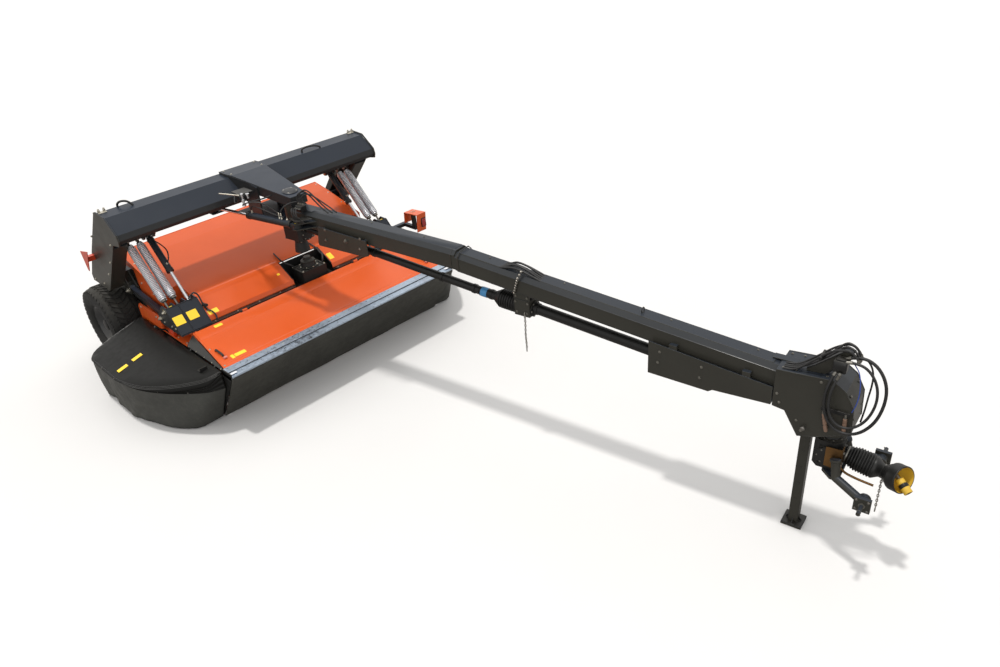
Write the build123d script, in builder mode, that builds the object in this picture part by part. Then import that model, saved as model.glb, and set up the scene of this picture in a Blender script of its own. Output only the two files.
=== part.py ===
from build123d import *
import os
from math import radians, degrees, sin, cos, tan, atan2, hypot

# Disc mower conditioner, trailed, with a centre-pivot drawbar. Millimetres.
# The machine stands with its drawbar pointing to -Y and its wheels towards +Y.
# X = 0 is the machine's middle plane and Z = 0 the ground. Left and right are
# the driver's, who looks towards -Y: right is -X and left is +X. As each piece
# is written it moves by CENTRE_Y, which puts the origin under the middle of the
# whole length.

os.makedirs("parts", exist_ok=True)

# ---------------------------------------------------------------- main sizes
PIVOT_Y = 1800.0            # vertical pivot of the drawbar under the portal beam
SWING_DEG = 8.7             # drawbar swung to +X as parked
# portal frame
BEAM_HALF = 1520.0
BEAM_REAR_Y, BEAM_TOP_Z = 2840.0, 1880.0
LEG_OUT, LEG_IN = 1520.0, 1372.0
PLATE = 12.0
# wheels
WHEEL_Y, WHEEL_R = 3550.0, 440.0
TYRE_IN, TYRE_OUT = 1270.0, 1650.0
RIM_R = 222.0
AXLE_R = 40.0
# lift linkage (parallelogram seen from the side: y, z)
LOW_F, LOW_H = (3120.0, 600.0), (2350.0, 530.0)
UP_F, UP_H = (3180.0, 880.0), (2410.0, 810.0)
SPRING_TOP, SPRING_LOW = (2820.0, 1520.0), (2250.0, 930.0)
# swing cylinder eyes (x, y, z); the drawbar eye is given on the straight drawbar
SWING_ROD_EYE = (-400.0, 2700.0, 1600.0)
SWING_BAR_EYE = (-208.5, -271.6, 1600.0)
# header
HEAD_HALF = 1340.0
CUT_X0, CUT_X1 = -50.0, 450.0
# cutter bar
DISC_COUNT, DISC_STEP, DISC_Y, DISC_Z = 8, 455.0, 2000.0, 92.0
DISC_R, KNIFE_R = 175.0, 236.0
ROTOR_Y, ROTOR_Z = 2480.0, 470.0
# drawbar, straight along -Y from its pivot: u is the distance ahead of the pivot
DB_REAR_TOP = ((-150.0, 1712.0), (2000.0, 1655.0))
DB_FRONT_TOP = ((2150.0, 1640.0), (5300.0, 1325.0))
HITCH_U = 5290.0            # vertical swivel axis of the hitch head
PTO_Z = 760.0
JACK_U = 5130.0

CENTRE_Y = 5.700          # half the difference between the rear and front overhang
CENTRE = Location((0, CENTRE_Y, 0))
SWING = Location((0, PIVOT_Y, 0), (0, 0, 1), SWING_DEG)


def write(piece, name, place=None):
    """Labels a finished piece, puts it at its place, and writes its STEP."""
    part = piece.part if place is None else piece.part.moved(place)
    part = part.moved(CENTRE)
    part.label = name
    export_step(part, f"parts/{name}.step")


def side_plane(x):
    """A plane across X at x: its X is the machine's Y and its Y is the machine's Z."""
    return Plane(origin=(x, 0, 0), x_dir=(0, 1, 0), z_dir=(1, 0, 0))


def cyl_between(p, q, r):
    """A round bar from p to q, made in the part that is open."""
    d = Vector(*q) - Vector(*p)
    with BuildSketch(Plane(origin=p, z_dir=tuple(d))) as section:
        Circle(r)
    extrude(section.sketch, amount=d.length)


# ================================================================ main frame
# portal beam: folded section with a broad sloping face to the front
BEAM_SEC = [(2840, 1880), (2800, 1893), (2620, 1880), (2440, 1745), (2425, 1690),
            (2440, 1655), (2560, 1625), (2790, 1625), (2840, 1665)]
with BuildPart() as cross_beam:
    with BuildSketch(side_plane(-BEAM_HALF + PLATE)):
        with BuildLine():
            Polyline(*BEAM_SEC, close=True)
        make_face()
    extrude(amount=2 * (BEAM_HALF - PLATE))
    with BuildSketch(side_plane(-BEAM_HALF + PLATE)):
        with BuildLine():
            Polyline(*BEAM_SEC, close=True)
        make_face()
        offset(amount=-PLATE, mode=Mode.REPLACE)
    extrude(amount=2 * (BEAM_HALF - PLATE), mode=Mode.SUBTRACT)
write(cross_beam, "cross_beam")

# legs: end plate that closes the beam and runs down and back, with two flanges
LEG_PLATE = [(2852, 1890), (2805, 1906), (2612, 1893), (2428, 1752), (2412, 1690),
             (2428, 1640), (2600, 1612), (2640, 1560), (3205, 940), (3640, 940),
             (3640, 1010), (3330, 1373), (2860, 1870)]
LEG_DIR = (0.6747, -0.7381)


with BuildPart() as legs:
    for sign in (-1, 1):
        x0 = LEG_OUT - PLATE if sign > 0 else -LEG_OUT
        with BuildSketch(side_plane(x0)):
            with BuildLine():
                Polyline(*LEG_PLATE, close=True)
            make_face()
        extrude(amount=PLATE)
        xf = LEG_IN if sign > 0 else -LEG_OUT
        width = LEG_OUT - LEG_IN
        # front flange, from under the beam to the foot of the leg
        with BuildSketch(side_plane(xf)):
            with BuildLine():
                Polyline((2640, 1560), (3205, 940), (3220, 953), (2655, 1574), close=True)
            make_face()
            with BuildLine():
                Polyline((2842, 1612), (3330, 1080), (3344, 1093), (2856, 1625), close=True)
            make_face()
        extrude(amount=width)
write(legs, "frame_legs")


# wheel arms: cross box over the tyre, plate down its inner side, stub axle, and
# the pins that the parallelogram arms turn on
PIN_R = 18.0
UP_X, LOW_X = 1310.0, 1108.0


with BuildPart() as wheel_arms:
    for sign in (-1, 1):
        box_x = (LEG_OUT - PLATE + 1140) / 2
        with Locations((sign * box_x, 3330, 1010)):
            Box(LEG_OUT - PLATE - 1140, 190, 128)
        with BuildSketch(side_plane(1140 if sign > 0 else -1240)):
            with BuildLine():
                Polyline((3200, 1074), (3425, 1074), (3660, 470), (3600, 350),
                         (3500, 350), (3380, 420), (3060, 520), (3060, 680), close=True)
            make_face()
        extrude(amount=100)
        cyl_between((sign * 1200, WHEEL_Y, WHEEL_R), (sign * 1500, WHEEL_Y, WHEEL_R), AXLE_R)
        for xe in (UP_X - 42, UP_X + 30):
            with BuildSketch(side_plane(min(sign * xe, sign * (xe + 12)))):
                with BuildLine():
                    Polyline((3128, 850), (3128, 920), (3236, 1070), (3300, 1070), (3300, 945), (3218, 836),
                             close=True)
                make_face()
            extrude(amount=12)
        cyl_between((sign * (UP_X - 42), *UP_F), (sign * (UP_X + 42), *UP_F), PIN_R)
        cyl_between((sign * (LOW_X - 30), *LOW_F), (sign * 1240, *LOW_F), PIN_R)
write(wheel_arms, "wheel_arms")

# pivot bracket: tapering box that slopes down from the beam to the pivot, with a
# bottom plate and the king pin between them
WEDGE = [(-216, 2810), (-216, 2690), (-92, 1660), (92, 1660), (216, 2690), (216, 2810)]
with BuildPart() as wedge_room:
    with BuildSketch(Plane.XY.offset(1600)) as room:
        with BuildLine():
            Polyline((-204, 2830), (-204, 2690), (-80.5, 1672), (80.5, 1672), (204, 2690),
                     (204, 2830), close=True)
        make_face()
    extrude(room.sketch, amount=300)
    with BuildSketch(side_plane(-230)) as over:
        with BuildLine():
            Polyline((1600, 1803), (2560, 1895), (2850, 1895), (2850, 2000), (1600, 2000),
                     close=True)
        make_face()
    extrude(over.sketch, amount=460, mode=Mode.SUBTRACT)
with BuildPart() as pivot_bracket:
    with BuildSketch(side_plane(-230)) as slope:
        with BuildLine():
            Polyline((1640, 1823), (2560, 1913), (2800, 1913), (2800, 1893.4), (2620, 1880.4),
                     (2500, 1790.6), (1640, 1730), close=True)
        make_face()
    extrude(slope.sketch, amount=460)
    with BuildSketch(Plane.XY.offset(1650)) as outline:
        with BuildLine():
            Polyline(*WEDGE, close=True)
        make_face()
    extrude(outline.sketch, amount=300, mode=Mode.INTERSECT)
    add(wedge_room.part, mode=Mode.SUBTRACT)
    with BuildSketch(Plane.XY.offset(1500)) as low:
        with BuildLine():
            Polyline((-210, 2600), (210, 2600), (96, 1680), (-96, 1680), close=True)
        make_face()
    extrude(low.sketch, amount=20)
    for x in (-160, 160):
        with BuildSketch(side_plane(x - 8)) as web:
            with BuildLine():
                Polyline((2408, 1880), (2150, 1856), (2150, 1520), (2408, 1520), close=True)
            make_face()
        extrude(web.sketch, amount=16)
    cyl_between((0, PIVOT_Y, 1515), (0, PIVOT_Y, 1848), 45)
write(pivot_bracket, "pivot_bracket")

# hangers under the beam for the springs and lift cylinders, and the front
# brackets of the parallelogram arms
HANG_X = ((-1372, -1352), (-1168, -1148), (-1066, -1046))   # plate faces, mirrored


EYE_GAP = 24.0              # play round the pin, in the eye that closes the linkage
with BuildPart() as beam_hangers:
    for sign in (-1, 1):
        for a, b in HANG_X:
            x0 = min(sign * -a, sign * -b)
            with BuildSketch(side_plane(x0)):
                with BuildLine():
                    Polyline((2760, 1625), (2880, 1625), (2860, 1500), (2838, 1486),
                             (2802, 1486), (2780, 1500), close=True)
                make_face()
            extrude(amount=abs(a - b))
        x_mid = sign * (1372 + 1046) / 2
        with BuildSketch(Plane(origin=(x_mid - 163, SPRING_TOP[0], SPRING_TOP[1]), z_dir=(1, 0, 0))):
            Circle(14)
        extrude(amount=326)
    # anchor of the swing cylinder's rod eye: a folded ear under the beam with a pin
    ax, ay, az = SWING_ROD_EYE
    with BuildSketch(Plane.XY.offset(az - 52)) as ear:
        with Locations((ax, ay + 30)):
            Rectangle(130, 170)
    extrude(ear.sketch, amount=14)
    with BuildSketch(side_plane(ax - 65)) as back:
        with BuildLine():
            Polyline((ay + 101, az - 52), (ay + 115, az - 52), (ay + 115, 1644.4),
                     (ay + 101, 1633.2), close=True)
        make_face()
    extrude(back.sketch, amount=130)
    cyl_between((ax, ay, az - 38), (ax, ay, 1625), PIN_R)
write(beam_hangers, "beam_hangers")

# rear marker boards: tapering plates behind the legs, on a short arm
with BuildPart() as marker_boards:
    for sign in (-1, 1):
        x0 = 1600 if sign > 0 else -1606
        with BuildSketch(side_plane(x0)):
            with BuildLine():
                Polyline((3190, 1420), (3420, 1370), (3380, 1170), (3350, 1160), close=True)
            make_face()
        extrude(amount=6)
        xa = LEG_OUT if sign > 0 else -1600
        with BuildSketch(side_plane(xa)):
            with Locations((3330, 1300)):
                Rectangle(60, 50)
        extrude(amount=80)
write(marker_boards, "marker_boards")

# ================================================================ wheels
TYRE_MID = (TYRE_IN + TYRE_OUT) / 2


def tyre(sign):
    half = (TYRE_OUT - TYRE_IN) / 2
    with BuildPart() as piece:
        plane = Plane(origin=(sign * TYRE_MID, WHEEL_Y, WHEEL_R), x_dir=(0, 1, 0), z_dir=(1, 0, 0))
        # section in the wheel's own plane: across (x) and radius (y)
        sec = Plane(origin=(sign * TYRE_MID, WHEEL_Y, WHEEL_R), x_dir=(1, 0, 0), z_dir=(0, -1, 0))
        with BuildSketch(sec):
            with BuildLine():
                Polyline((-half + 40, RIM_R), (-half + 6, RIM_R + 60), (-half, RIM_R + 120),
                         (-half + 14, WHEEL_R - 22), (-half + 48, WHEEL_R), (half - 48, WHEEL_R),
                         (half - 14, WHEEL_R - 22), (half, RIM_R + 120), (half - 6, RIM_R + 60),
                         (half - 40, RIM_R), close=True)
            make_face()
        revolve(axis=Axis((sign * TYRE_MID, WHEEL_Y, WHEEL_R), (1, 0, 0)))
    return piece


def rim(sign):
    half = (TYRE_OUT - TYRE_IN) / 2
    with BuildPart() as piece:
        sec = Plane(origin=(sign * TYRE_MID, WHEEL_Y, WHEEL_R), x_dir=(sign, 0, 0),
                    z_dir=(0, -sign, 0))
        with BuildSketch(sec):
            with BuildLine():
                Polyline((-half + 40, RIM_R), (-half + 40, RIM_R - 14), (40, RIM_R - 60),
                         (40, AXLE_R + 1), (52, AXLE_R + 1), (120, AXLE_R + 1), (120, 70),
                         (60, 74), (52, 150), (90, RIM_R - 60), (half - 40, RIM_R - 14),
                         (half - 40, RIM_R), close=True)
            make_face()
        revolve(axis=Axis((sign * TYRE_MID, WHEEL_Y, WHEEL_R), (1, 0, 0)))
    return piece


for side, sign in (("right", -1), ("left", 1)):
    write(tyre(sign), f"tyre_{side}")
    write(rim(sign), f"rim_{side}")

# ================================================================ lift linkage
# one arm: a bar with an eye at each end, seen from the side


def arm(piece_x, p, q, r_eye, half_h, thick, bore):
    """An arm of thickness thick about x = piece_x, from eye p to eye q."""
    dy, dz = q[0] - p[0], q[1] - p[1]
    ln = hypot(dy, dz)
    ny, nz = -dz / ln * half_h, dy / ln * half_h
    with BuildSketch(side_plane(piece_x - thick / 2)) as section:
        with Locations(p, q):
            Circle(r_eye)
        with BuildLine():
            Polyline((p[0] + ny, p[1] + nz), (q[0] + ny, q[1] + nz),
                     (q[0] - ny, q[1] - nz), (p[0] - ny, p[1] - nz), close=True)
        make_face()
        with Locations(p, q):
            Circle(bore, mode=Mode.SUBTRACT)
    extrude(section.sketch, amount=thick)


with BuildPart() as lower_link_arms:
    for sign in (-1, 1):
        arm(sign * LOW_X, LOW_F, LOW_H, 45, 32, 50, PIN_R + 0.05)
write(lower_link_arms, "lower_link_arms")
with BuildPart() as upper_link_arms:
    for sign in (-1, 1):
        arm(sign * UP_X, UP_F, UP_H, 40, 30, 50, PIN_R + 0.05)
write(upper_link_arms, "upper_link_arms")


# lift cylinders and spring packs: the upper halves hang from the beam, the
# lower halves (rods and spring hooks) slide out of them down to the header
SY, SZ = SPRING_LOW[0] - SPRING_TOP[0], SPRING_LOW[1] - SPRING_TOP[1]
SPRING_LEN = hypot(SY, SZ)
SPRING_PLANE_DIR = (SY / SPRING_LEN, SZ / SPRING_LEN)
SPRING_X = (1320.0, 1222.0)
CYL_X = 1107.0


def spring_at(t):
    """A point t millimetres down the spring line (y, z)."""
    return (SPRING_TOP[0] + SPRING_PLANE_DIR[0] * t, SPRING_TOP[1] + SPRING_PLANE_DIR[1] * t)


def tube_along(x, t0, t1, r_out, r_in):
    p = (x, *spring_at(t0))
    with BuildSketch(Plane(origin=p, x_dir=(1, 0, 0), z_dir=(0, *SPRING_PLANE_DIR))) as section:
        Circle(r_out)
        if r_in:
            Circle(r_in, mode=Mode.SUBTRACT)
    extrude(section.sketch, amount=t1 - t0)


def eye_at(x, centre, r_out, bore, thick):
    with BuildSketch(side_plane(x - thick / 2)) as section:
        with Locations(centre):
            Circle(r_out)
            Circle(bore, mode=Mode.SUBTRACT)
    extrude(section.sketch, amount=thick)


# springs: an upper tube with its top hook, and a sleeve on the lower hook that
# slides over it, both at about the coils' outer size
with BuildPart() as spring_tops:
    for sign in (-1, 1):
        for x in SPRING_X:
            tube_along(sign * x, 62, 420, 29, 23)
            tube_along(sign * x, 40, 66, 29, 0)
            eye_at(sign * x, SPRING_TOP, 42, 14.05, 24)
write(spring_tops, "spring_tops")
with BuildPart() as spring_hooks:
    for sign in (-1, 1):
        for x in SPRING_X:
            tube_along(sign * x, 440, 700, 34, 31)
            tube_along(sign * x, 690, 700, 33, 0)
            tube_along(sign * x, 694, SPRING_LEN - 30, 14, 0)
            eye_at(sign * x, SPRING_LOW, 40, PIN_R + 10, 24)
write(spring_hooks, "spring_hooks")
with BuildPart() as lift_barrels:
    for sign in (-1, 1):
        tube_along(sign * CYL_X, 52, 430, 34, 27)
        tube_along(sign * CYL_X, 40, 60, 34, 0)
        eye_at(sign * CYL_X, SPRING_TOP, 42, 14.05, 36)
write(lift_barrels, "lift_barrels")
with BuildPart() as lift_rods:
    for sign in (-1, 1):
        tube_along(sign * CYL_X, 330, SPRING_LEN - 30, 16, 0)
        tube_along(sign * CYL_X, 330, 356, 26.9, 0)
        eye_at(sign * CYL_X, SPRING_LOW, 40, PIN_R + 10, 36)
write(lift_rods, "lift_rods")

# ================================================================ header
# towers that take the springs, cylinders and upper arms
TOWER_PLATES = ((1360, 1372), (1268, 1280), (1152, 1164), (1050, 1062))


with BuildPart() as lift_towers:
    for sign in (-1, 1):
        for a, b in TOWER_PLATES:
            with BuildSketch(side_plane(min(sign * a, sign * b))):
                with BuildLine():
                    Polyline((1996, 744), (2205, 980), (2300, 984), (2462, 838), (2462, 762),
                             (2394, 744), close=True)
                make_face()
            extrude(amount=b - a)
        x0 = min(sign * 1050, sign * 1372)
        with BuildSketch(side_plane(x0)):
            with BuildLine():
                Polyline((1993, 744.5), (2200, 978), (2209, 970), (2010, 744.5), close=True)
            make_face()
        extrude(amount=322)
        with Locations((sign * 1211, 2196, 752)):
            Box(322, 396, 16)
        cyl_between((sign * 1050, *SPRING_LOW), (sign * 1372, *SPRING_LOW), PIN_R)
        cyl_between((sign * 1268, *UP_H), (sign * 1372, *UP_H), PIN_R)
    # arm on the left tower that carries the hoop bracket
    with Locations((1470, 2105, 868)):
        Box(200, 50, 40)
    with BuildSketch(Plane.XY.offset(848)) as reach:
        with Locations((1560, 2005)):
            Rectangle(40, 240)
    extrude(reach.sketch, amount=40)
    with Locations((1560, 1915, 962)):
        Box(40, 40, 188)
write(lift_towers, "lift_towers")

# hoop bracket over the left end: a folded sheet, open below
with BuildPart() as hoop_bracket:
    with BuildSketch(side_plane(1480)) as hoop:
        with BuildLine():
            Polyline((1770, 865), (1745, 1086), (1985, 1065), (1997, 930), (1989, 930),
                     (1977.8, 1057.6), (1754, 1077.2), (1778, 865), close=True)
        make_face()
    extrude(hoop.sketch, amount=130)
write(hoop_bracket, "hoop_bracket")

# side gables of the header with the lower arms' pins
GABLE_X = (1226, 1242)
GABLE = [(1480, 130), (1480, 600), (1900, 690), (1965, 705), (1990, 743.5), (2394, 743.5),
         (2560, 640), (2620, 420), (2560, 130)]


with BuildPart() as header_gables:
    for sign in (-1, 1):
        with BuildSketch(side_plane(min(sign * GABLE_X[0], sign * GABLE_X[1]))):
            with BuildLine():
                Polyline(*GABLE, close=True)
            make_face()
        extrude(amount=16)
        cyl_between((sign * (LOW_X - 30), *LOW_H), (sign * 1242, *LOW_H), PIN_R)
        # shoulder plate over the guard's inner edge, and the wing plate behind it
        with Locations((sign * 1303, 2332, 644)):
            Box(126, 735, 8)
        with BuildSketch(side_plane(1358 if sign > 0 else -1366)) as wing:
            with BuildLine():
                Polyline((2472, 640), (2472, 800), (2960, 800), (3000, 760), (3000, 450),
                         (2690, 450), (2690, 640), close=True)
            make_face()
        extrude(wing.sketch, amount=8)
write(header_gables, "header_gables")

# flanges between the lid's ends and the end guards, with the guards' hinge pins
GUARD_HINGE = (1405.0, 628.0)
HINGE_Y = (1400.0, 1880.0)
with BuildPart() as guard_flanges:
    for sign in (-1, 1):
        with BuildSketch(Plane(origin=(0, 1960, 0), x_dir=(1, 0, 0), z_dir=(0, -1, 0))) as rear_end:
            with BuildLine():
                Polyline((sign * 1284, 735), (sign * 1366, 655), (sign * 1366, 647),
                         (sign * 1284, 727), close=True)
            make_face()
        with BuildSketch(Plane(origin=(0, 1255, 0), x_dir=(1, 0, 0), z_dir=(0, -1, 0))) as front_end:
            with BuildLine():
                Polyline((sign * 1353, 648), (sign * 1366, 645), (sign * 1366, 637),
                         (sign * 1353, 640), close=True)
            make_face()
        loft([rear_end.sketch.face(), front_end.sketch.face()], ruled=True)
        for y in HINGE_Y:
            with BuildSketch(Plane(origin=(0, y - 10, 0), x_dir=(1, 0, 0), z_dir=(0, -1, 0))) as ear:
                with BuildLine():
                    Polyline((sign * 1358, 615), (sign * 1358, 648), (sign * 1366, 648),
                             (sign * 1384, 637), (sign * 1405, 638), (sign * 1415, 628),
                             (sign * 1405, 618), close=True)
                make_face()
            extrude(ear.sketch, amount=-20)
            cyl_between((sign * GUARD_HINGE[0], y - 45, GUARD_HINGE[1]),
                        (sign * GUARD_HINGE[0], y + 45, GUARD_HINGE[1]), 6)
write(guard_flanges, "guard_flanges")

# header beam: square tube across the header, over the cutter bar
with BuildPart() as header_beam:
    with BuildSketch(side_plane(-GABLE_X[0])):
        with Locations((1750, 560)):
            Rectangle(120, 120)
            Rectangle(104, 104, mode=Mode.SUBTRACT)
    extrude(amount=2 * GABLE_X[0])
write(header_beam, "header_beam")

# rear hood over the conditioner: bent sheet with two side cheeks
HOOD_HALF, HOOD_END = 1045.0, 1258.0
HOOD = [(2046, 756), (2060, 800), (2300, 935), (2700, 1050), (3200, 1180), (3430, 1225)]
SHEET = 8.0


def thick_line(points, t):
    """A closed outline along points, t thick downwards."""
    return points + [(y, z - t) for y, z in reversed(points)]


with BuildPart() as rear_hood:
    with BuildSketch(side_plane(-HOOD_HALF)):
        with BuildLine():
            Polyline(*thick_line(HOOD, SHEET), close=True)
        make_face()
    extrude(amount=2 * HOOD_HALF)
    for x0 in (-HOOD_HALF, HOOD_HALF - 6):
        with BuildSketch(side_plane(x0)):
            with BuildLine():
                Polyline((2060, 798), (2300, 933), (2700, 1048), (3200, 1178), (3430, 1223),
                         (3430, 700), (3100, 420), (2640, 420), (2640, 700), (2060, 780), close=True)
            make_face()
        extrude(amount=6)
    # ends of the hood behind the towers: roof, front closing plate and side wall
    for sign in (-1, 1):
        with BuildSketch(side_plane(min(sign * (HOOD_HALF - 6), sign * HOOD_END))):
            with BuildLine():
                Polyline(*thick_line([(2560, 1009.7), (2700, 1050), (3200, 1180), (3430, 1225)],
                                     SHEET), close=True)
            make_face()
        extrude(amount=HOOD_END - HOOD_HALF + 6)
        with Locations((sign * (HOOD_HALF + HOOD_END) / 2, 2563, 880)):
            Box(HOOD_END - HOOD_HALF, 6, 250)
        with BuildSketch(side_plane(min(sign * (HOOD_END - 8), sign * HOOD_END))):
            with BuildLine():
                Polyline((2560, 1009.7), (2700, 1050), (3200, 1180), (3430, 1225), (3430, 1110),
                         (3120, 1100), (3060, 560), (2980, 480), (2706, 480), (2706, 656),
                         (2560, 755), close=True)
            make_face()
        extrude(amount=8)
    # opening for the header gearbox
    with Locations(((CUT_X0 + CUT_X1) / 2, 2150, 850)):
        Box(CUT_X1 - CUT_X0, 300, 400, mode=Mode.SUBTRACT)
write(rear_hood, "rear_hood")

# fixed panel between the front lid and the rear hood, in two halves round the
# gearbox, and the tray under the opening that the gearbox stands in
LID_HINGE = (1972.0, 752.0)
LID_HINGE_X = (-700.0, 700.0)
with BuildPart() as middle_panel:
    for x0, x1 in ((-1045, CUT_X0 - 16), (CUT_X1 + 16, 1045)):
        with BuildSketch(side_plane(x0)):
            with BuildLine():
                Polyline((1990, 748), (2044, 748), (2044, 740), (1998, 740), (1998, 600),
                         (1990, 600), close=True)
            make_face()
        extrude(amount=x1 - x0)
    # ears and pins of the lid's hinges
    for x in LID_HINGE_X:
        for side in (-1, 1):
            with BuildSketch(side_plane(x + side * 40 - 6)) as ear:
                with BuildLine():
                    Polyline((1962, 742), (1958, 752), (1962, 762), (1972, 766), (1984, 764),
                             (2012, 748), (2012, 741), (1991, 741), (1972, 738), close=True)
                make_face()
            extrude(ear.sketch, amount=12)
        cyl_between((x - 52, *LID_HINGE), (x + 52, *LID_HINGE), 8)
    # tray
    for x0 in (-60, 452):
        with BuildSketch(side_plane(x0)) as wall:
            with BuildLine():
                Polyline((2004, 692), (2004, 738), (2048, 738), (2062, 784), (2300, 918),
                         (2300, 692), close=True)
            make_face()
        extrude(wall.sketch, amount=8)
    with BuildSketch(Plane.XY.offset(692)) as floor:
        with Locations((200, 2152)):
            Rectangle(520, 296)
        with Locations((200, 2121)):
            Rectangle(312, 240, mode=Mode.SUBTRACT)
    extrude(floor.sketch, amount=8)
    with Locations((200, 2296, 805)):
        Box(520, 8, 226)
write(middle_panel, "middle_panel")

# cutter bar: flat bed with end skids
with BuildPart() as cutter_bar:
    with BuildSketch(side_plane(-1790)):
        with BuildLine():
            Polyline((1860, 45), (1900, 20), (2100, 12), (2200, 30), (2200, 62), (1900, 74),
                     (1860, 60), close=True)
        make_face()
    extrude(amount=3580)
    for sign in (-1, 1):
        for x in (0, 1, 2, 3):
            with Locations((sign * DISC_STEP * (x + 0.5), 2010, 8)):
                Box(150, 330, 16)
        # risers from the bar up to the gables
        with BuildSketch(side_plane(min(sign * 1226, sign * 1290))):
            with BuildLine():
                Polyline((2250, 30), (2330, 30), (2330, 130), (2250, 130), close=True)
            make_face()
        extrude(amount=64)
        with Locations((sign * 1258, 2225, 46)):
            Box(64, 60, 32)
write(cutter_bar, "cutter_bar")

# discs with two knives each; neighbours stand a quarter turn apart
for i in range(DISC_COUNT):
    x = (i - (DISC_COUNT - 1) / 2) * DISC_STEP
    with BuildPart() as disc:
        with BuildSketch(Plane.XY.offset(DISC_Z)):
            with Locations((x, DISC_Y)):
                Circle(DISC_R)
        extrude(amount=8)
        with BuildSketch(Plane.XY.offset(DISC_Z + 8)):
            with Locations((x, DISC_Y)):
                Circle(DISC_R * 0.62)
        extrude(amount=26, taper=40)
        with BuildSketch(Plane.XY.offset(78)):
            with Locations((x, DISC_Y)):
                Circle(34)
        extrude(amount=DISC_Z - 78)
        turn = 0 if i % 2 else 90
        with BuildSketch(Plane.XY.offset(DISC_Z - 5)):
            with Locations(Location((x, DISC_Y, 0), (0, 0, 1), turn)):
                with Locations((KNIFE_R - 52, 0), (52 - KNIFE_R, 0)):
                    Rectangle(100, 44)
        extrude(amount=5)
    write(disc, f"cutting_disc_{i + 1}")

# conditioner rotor with its tines
ROTOR_HALF = 1020.0
with BuildPart() as conditioner_rotor:
    cyl_between((-ROTOR_HALF, ROTOR_Y, ROTOR_Z), (ROTOR_HALF, ROTOR_Y, ROTOR_Z), 90)
    for n in range(16):
        xt = -ROTOR_HALF + 50 + n * (2 * ROTOR_HALF - 100) / 15
        for k in range(2):
            ang = 90 * k + 45 * (n % 2)
            with Locations(Location((xt, ROTOR_Y, ROTOR_Z), (1, 0, 0), ang)):
                Box(14, 40, 430)
write(conditioner_rotor, "conditioner_rotor")

# header gearbox in the opening between the panels
GB_X = (CUT_X0 + CUT_X1) / 2
with BuildPart() as header_gearbox:
    with Locations((GB_X, 2120, 770)):
        Box(300, 230, 170)
    with BuildSketch(Plane.XY.offset(855)):
        with Locations((GB_X, 2120)):
            Circle(85)
    extrude(amount=60, taper=12)
    with Locations((GB_X, 1960, 660)):
        Box(120, 300, 79.9)
write(header_gearbox, "header_gearbox")

# ---------------------------------------------------------------- front lid
LID_REAR_HALF, LID_FRONT_HALF = 1275.0, 1345.0
LID_REAR, LID_FRONT = (1968.0, 748.0), (1262.0, 655.0)
with BuildPart() as canopy_lid:
    with BuildSketch(Plane(origin=(0, LID_REAR[0], LID_REAR[1] - 4), x_dir=(1, 0, 0), z_dir=(0, -1, 0))):
        Rectangle(2 * LID_REAR_HALF, 8)
    with BuildSketch(Plane(origin=(0, LID_FRONT[0], LID_FRONT[1] - 4), x_dir=(1, 0, 0), z_dir=(0, -1, 0))):
        Rectangle(2 * LID_FRONT_HALF, 8)
    loft(ruled=True)
    for x in LID_HINGE_X:
        for side in (-1, 1):
            with Locations((x + side * 40, 1960, 746)):
                Box(24, 28, 40, mode=Mode.SUBTRACT)
        with BuildSketch(side_plane(x - 26)) as knuckle:
            with Locations(LID_HINGE):
                Circle(14)
        extrude(knuckle.sketch, amount=52)
        with BuildSketch(side_plane(x - 40)) as bore:
            with Locations(LID_HINGE):
                Circle(8.05)
        extrude(bore.sketch, amount=80, mode=Mode.SUBTRACT)
write(canopy_lid, "canopy_lid")

STRIP = [(1262, 660), (1178, 655), (1174, 645), (1098, 640), (1094, 620), (1102, 618),
         (1106, 632), (1180, 637), (1184, 647), (1262, 651)]
with BuildPart() as lid_strip:
    with BuildSketch(side_plane(-1362)):
        with BuildLine():
            Polyline(*STRIP, close=True)
        make_face()
    extrude(amount=2724)
write(lid_strip, "lid_strip")

with BuildPart() as front_curtain:
    with BuildSketch(side_plane(-1372)):
        with BuildLine():
            Polyline((1099, 616), (1093, 612), (1300, 322), (1512, 20), (1518, 24), (1306, 326),
                     close=True)
        make_face()
    extrude(amount=2744)
write(front_curtain, "front_curtain")

# ---------------------------------------------------------------- end guards
#                 x at the hem, y at the hem, x at the rim, y at the rim
GUARD = [(1386, 1530, 1386, 1246),
         (1690, 1572, 1560, 1330),
         (1905, 2030, 1775, 1590),
         (1968, 2260, 1930, 1880),
         (1975, 2480, 2010, 2220),
         (1960, 2720, 2018, 2550),
         (1930, 2960, 1960, 2930),
         (1386, 2990, 1386, 2985)]
RIM_Z, HEM_Z = 470.0, 14.0


def guard_cavity(sign):
    """The space under the guard's top, to be cut out of it."""
    with BuildPart() as cavity:
        with BuildSketch(Plane.XY.offset(RIM_Z - 20)) as core:
            with BuildLine():
                Polyline(*[(sign * c, d) for a, b, c, d in GUARD], close=True)
            make_face()
            offset(amount=-10, kind=Kind.INTERSECTION, mode=Mode.REPLACE)
        extrude(core.sketch, amount=220)
        with BuildSketch(Plane(origin=(0, 1000, 0), x_dir=(1, 0, 0), z_dir=(0, -1, 0))) as off:
            with BuildLine():
                Polyline((sign * 2060, RIM_Z - 4), (sign * 1386, 642), (sign * 1300, 642),
                         (sign * 1300, 900), (sign * 2060, 900), close=True)
            make_face()
        extrude(off.sketch, amount=-2200, mode=Mode.SUBTRACT)
    return cavity


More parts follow.
